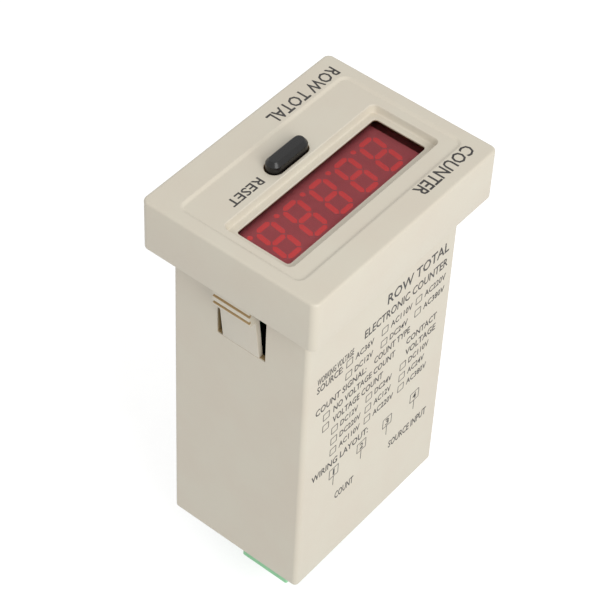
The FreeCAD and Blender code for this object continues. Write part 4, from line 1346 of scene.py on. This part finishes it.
@dataclass(frozen=True)
class RatingLabel:
    """The wiring and supply label on the long side, laid out in units of its own.

    Attributes:
        scale: Size of one layout unit in millimetres.
        box: Side of a tick box.
        indent: Distance from a tick box's left side to its words.
        supply_letter: Width of a letter in the words of the supply options.
        signal_letter: Width of a letter in the words of the signal options.
        terminal: Width and height of a terminal's box.
        terminal_low: Level of the lower sides of the terminals' boxes.
        stem: Width and length of the line under a terminal's box.
        terminals: Middles of the terminals' boxes.
    """

    scale: float = 0.935
    box: float = 2.8
    indent: float = 4.0
    supply_letter: float = 1.6
    signal_letter: float = 1.55
    terminal: tuple[float, float] = (4.2, 4.0)
    terminal_low: float = -73.0
    stem: tuple[float, float] = (0.24, 4.0)
    terminals: tuple[float, ...] = (-17.8, -5.2, 6.7, 19.6)

    def line(self, text: str, left: float, right: float, low: float, high: float) -> Line:
        """A line of lettering from its box in layout units."""
        return Line(text, *(value * self.scale for value in (left, right, low, high)))

    def tick(self, side: Side, form: Surface, left: float, low: float) -> None:
        """Draw a tick box."""
        side.frame(form, *(value * self.scale for value in (left, left + self.box, low, low + self.box)))

    def options(self, side: Side, form: Surface, lefts: Sequence[float], low: float, names: Sequence[str],
                letter: float) -> None:
        """Draw a row of tick boxes, each with its words.

        Args:
            side: The side that is printed on.
            form: The surface to add to.
            lefts: Left sides of the boxes.
            low: Level of their lower sides.
            names: The words.
            letter: Width of a letter.
        """
        for left, name in zip(lefts, names):
            self.tick(side, form, left, low)
            start = left + self.indent
            side.letter(form, self.line(name, start, start + letter * len(name), low + 0.2, low + 2.6))

    def layout(self, side: Side, form: Surface) -> None:
        """Draw the wiring layout: four numbered terminals, each with its line.

        Args:
            side: The side that is printed on.
            form: The surface to add to.
        """
        low = self.terminal_low
        width, height = self.terminal
        thick, length = self.stem
        for number, spot in enumerate(self.terminals, start=1):
            box = (spot - width / 2, spot + width / 2, low, low + height)
            side.frame(form, *(value * self.scale for value in box))
            half = 0.35 if number == 1 else 0.8
            side.letter(form, self.line(str(number), spot - half, spot + half, low + 0.7, low + 3.3))
            stem = (spot - thick / 2, spot + thick / 2, low - length, low)
            side.dash(form, *(value * self.scale for value in stem))

    def dress(self) -> None:
        """Draw the label and hand it to the frame."""
        side = Side(np.array([0, Housing().width / 2, 0]), -X, Z)
        form = Surface()
        headings = (
            ("ROW TOTAL", 1.5, 29, -18, -14), ("ELECTRONIC COUNTER", -8, 29, -23.8, -20.5),
            ("SOURCE:", -28, -17, -29.3, -26.5), ("COUNT SIGNAL:", -28, -6, -38.7, -36),
            ("NO VOLTAGE COUNT", -20, 7.3, -43.3, -40.7), ("VOLTAGE COUNT", -20, 2.2, -48, -45.3),
            ("WIRING LAYOUT:", -28, -2.7, -67.3, -64.5), ("COUNT", -16.5, -8, -84.8, -81.7),
            ("SOURCE INPUT", 8.5, 26.5, -84.8, -81.7), ("WORKING VOLTAGE", -28, -12.5, -25.9, -23.3),
            ("COUNT TYPE", -2.5, 13.5, -38.7, -36), ("CONTACT", 12.5, 26.5, -43.3, -40.7),
            ("VOLTAGE", 12.5, 26.5, -48, -45.3),
        )
        for heading in headings:
            side.letter(form, self.line(*heading))
        supplies = ((-29.3, ("AC36V", "AC110V", "AC220V")), (-34.3, ("DC12V", "DC24V", "AC380V")))
        for low, names in supplies:
            self.options(side, form, (-15.5, 0.0, 15.2), low, names, self.supply_letter)
        signals = ((-52.7, ("DC12V", "DC24V", "DC110V")), (-57.4, ("DC220V", "AC12V", "AC24V")),
                   (-62.1, ("AC110V", "AC220V", "AC380V")))
        for low, names in signals:
            self.options(side, form, (-20.3, -5.0, 10.5), low, names, self.signal_letter)
        for low in (-43.4, -48.1):
            self.tick(side, form, -24.5, low)
        self.layout(side, form)
        settle(form.mesh("side_print", [PRINT_INK]), "case")


# ------------------------------------------------------------------ what stays as the frame has it

INNER_FINISHES = {
    "terminal_plug": TERMINAL_NYLON, "terminal_header": TERMINAL_NYLON,
    "header_pins": TINNED_BRASS, "plug_contacts": TINNED_BRASS, "board_link": TINNED_BRASS,
    "board_screws": ZINC_STEEL, "key_return_spring": SPRING_WIRE, "key_stem": NATURAL_ACETAL,
    "key_switch_body": BLOCK_SIDE, "display_board": SOLDER_MASK, "main_board": SOLDER_MASK,
    "transformer_core": CORE_IRON, "transformer_bobbin": BOBBIN_NYLON, "transformer_winding": WINDING_TAPE,
    "main_capacitor": CAN_SLEEVE, "output_capacitor": CAN_SLEEVE, "bridge_rectifier": CHIP_EPOXY,
    "voltage_regulator": CHIP_EPOXY, "microcontroller": CHIP_EPOXY, "memory_chip": CHIP_EPOXY,
    "optocoupler": COUPLER_EPOXY, "crystal": CRYSTAL_CAN, "surge_varistor": VARISTOR_COAT,
    **{f"{part}_{pole}": ZINC_STEEL for part in ("terminal_screw", "wire_clamp") for pole in range(1, 5)},
}


def finish_inner_parts() -> None:
    """Give each node whose shape is right as it is the finish of its real material."""
    for node, finish in INNER_FINISHES.items():
        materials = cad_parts[node].data.materials
        materials.clear()
        materials.append(PAINTS.get(finish))
        log.info("%s: %s", node, finish.name)


def press_spring() -> None:
    """Give the return spring a mesh of its own."""
    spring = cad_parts["key_return_spring"]
    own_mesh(spring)


# ------------------------------------------------------------------ studio


@dataclass(frozen=True)
class Studio:
    """White sweep, one large soft lamp and the camera.

    Attributes:
        camera_at: The camera's place in millimetres.
        camera_right: Its right-hand direction.
        camera_up: Its upward direction.
        lens: Focal length for a film 36 mm wide.
        lamp_from: Direction from the object to the lamp.
        lamp_way: The lamp's distance in metres.
        lamp_side: Its side in metres.
        lamp_power: Its power in watts.
        ambient: Level of the light from all round.
        drop: Depth of the floor below the object in millimetres, so that the plug has room to come out.
        floor_half: Half of the floor's side in metres.
        floor_glow: Light that the floor adds for the viewer alone, so that it shows white in full light.
    """

    camera_at: tuple[float, float, float] = (325.04, 240.97, 401.93)
    camera_right: tuple[float, float, float] = (-0.63266, 0.77361, 0.03573)
    camera_up: tuple[float, float, float] = (-0.54950, -0.48094, 0.68319)
    lens: float = 137.23
    lamp_from: tuple[float, float, float] = (0.29, 0.81, 0.51)
    lamp_way: float = 0.9
    lamp_side: float = 0.5
    lamp_power: float = 4.2
    ambient: float = 0.65
    drop: float = 12.4
    floor_half: float = 3.0
    floor_glow: float = 0.62

    def seen_ray(self, tree: bpy.types.NodeTree) -> bpy.types.NodeSocket:
        """Tell the rays that the viewer sees, straight, in a gloss or through glass, from those that light things.

        Args:
            tree: The material's or the world's tree.

        Returns:
            A value of 1 for a seen ray, else 0.
        """
        path = add(tree, "LightPath")
        first = add(tree, "Math", {0: path.outputs["Is Camera Ray"], 1: path.outputs["Is Glossy Ray"]},
                    operation="MAXIMUM")
        both = add(tree, "Math", {0: first.outputs[0], 1: path.outputs["Is Transmission Ray"]},
                   operation="MAXIMUM")
        return both.outputs[0]

    def light(self) -> None:
        """Set the world and the lamp."""
        world = bpy.data.worlds.new("white_room")
        bpy.context.scene.world = world
        world.use_nodes = True
        tree = world.node_tree
        tree.nodes.clear()
        level = spread(tree, self.seen_ray(tree), 0, 1, self.ambient, 1.0)
        room = add(tree, "Background", {"Color": linear("ffffff"), "Strength": level})
        add(tree, "OutputWorld", {"Surface": room.outputs[0]})
        lamp = bpy.data.lights.new("soft_box", "AREA")
        lamp.energy = self.lamp_power
        lamp.size = self.lamp_side
        holder = bpy.data.objects.new("soft_box", lamp)
        aim = Vector(self.lamp_from).normalized()
        holder.location = aim * self.lamp_way
        holder.rotation_euler = aim.to_track_quat("Z", "Y").to_euler()
        bpy.context.collection.objects.link(holder)

    def shoot_from(self) -> None:
        """Place the camera by its right, upward and backward directions."""
        camera = bpy.data.cameras.new("studio_camera")
        camera.lens = self.lens
        camera.sensor_width = 36.0
        camera.clip_start, camera.clip_end = 0.01, 20.0
        holder = bpy.data.objects.new("studio_camera", camera)
        right, up = Vector(self.camera_right), Vector(self.camera_up)
        back = right.cross(up).normalized()
        turn = Matrix((right, up, back)).transposed().to_4x4()
        holder.matrix_world = Matrix.Translation(Vector(self.camera_at) * MM) @ turn
        bpy.context.collection.objects.link(holder)
        bpy.context.scene.camera = holder

    def floor(self) -> None:
        """Lay a white floor that shows as pure white except in the object's soft shadow."""
        size = self.floor_half
        level = CAD_LOW[2] - self.drop * MM
        mesh = bpy.data.meshes.new("studio_floor")
        corners = [(size * x, size * y, level) for x, y in ((-1, -1), (1, -1), (1, 1), (-1, 1))]
        mesh.from_pydata(corners, [], [(0, 1, 2, 3)])
        material = bpy.data.materials.new("matt_white_paper")
        material.use_nodes = True
        tree = material.node_tree
        tree.nodes.clear()
        place = add(tree, "TexCoord").outputs["Object"]
        fibre = add(tree, "TexNoise", {"Vector": place, "Scale": per(8.0), "Detail": 3.0}).outputs[0]
        colour = mixed(tree, fibre, linear("cbcbcb"), linear("d2d2d2"))
        paper = add(tree, "BsdfDiffuse", {"Color": colour})
        strength = spread(tree, self.seen_ray(tree), 0, 1, 0.0, self.floor_glow)
        glow = add(tree, "Emission", {"Color": linear("ffffff"), "Strength": strength})
        both = add(tree, "AddShader", {0: paper.outputs[0], 1: glow.outputs[0]})
        add(tree, "OutputMaterial", {"Surface": both.outputs[0]})
        mesh.materials.append(material)
        floor = bpy.data.objects.new("studio_floor", mesh)
        bpy.context.collection.objects.link(floor)

    def build(self) -> None:
        """Set up light, camera and floor."""
        bpy.context.scene.view_settings.view_transform = "Standard"
        self.light()
        self.shoot_from()
        self.floor()


def main() -> None:
    """Build every piece, dress what stays, and light the scene."""
    logging.basicConfig(level=logging.INFO, format="%(message)s")
    Studio().build()
    Bezel().dress()
    Lens().dress()
    ResetKey().dress()
    Housing().dress()
    for side in (1, -1):
        Latch(side).dress()
    Display().dress()
    FacePrint().dress()
    RatingLabel().dress()
    finish_inner_parts()
    press_spring()


if __name__ == "__main__":
    main()
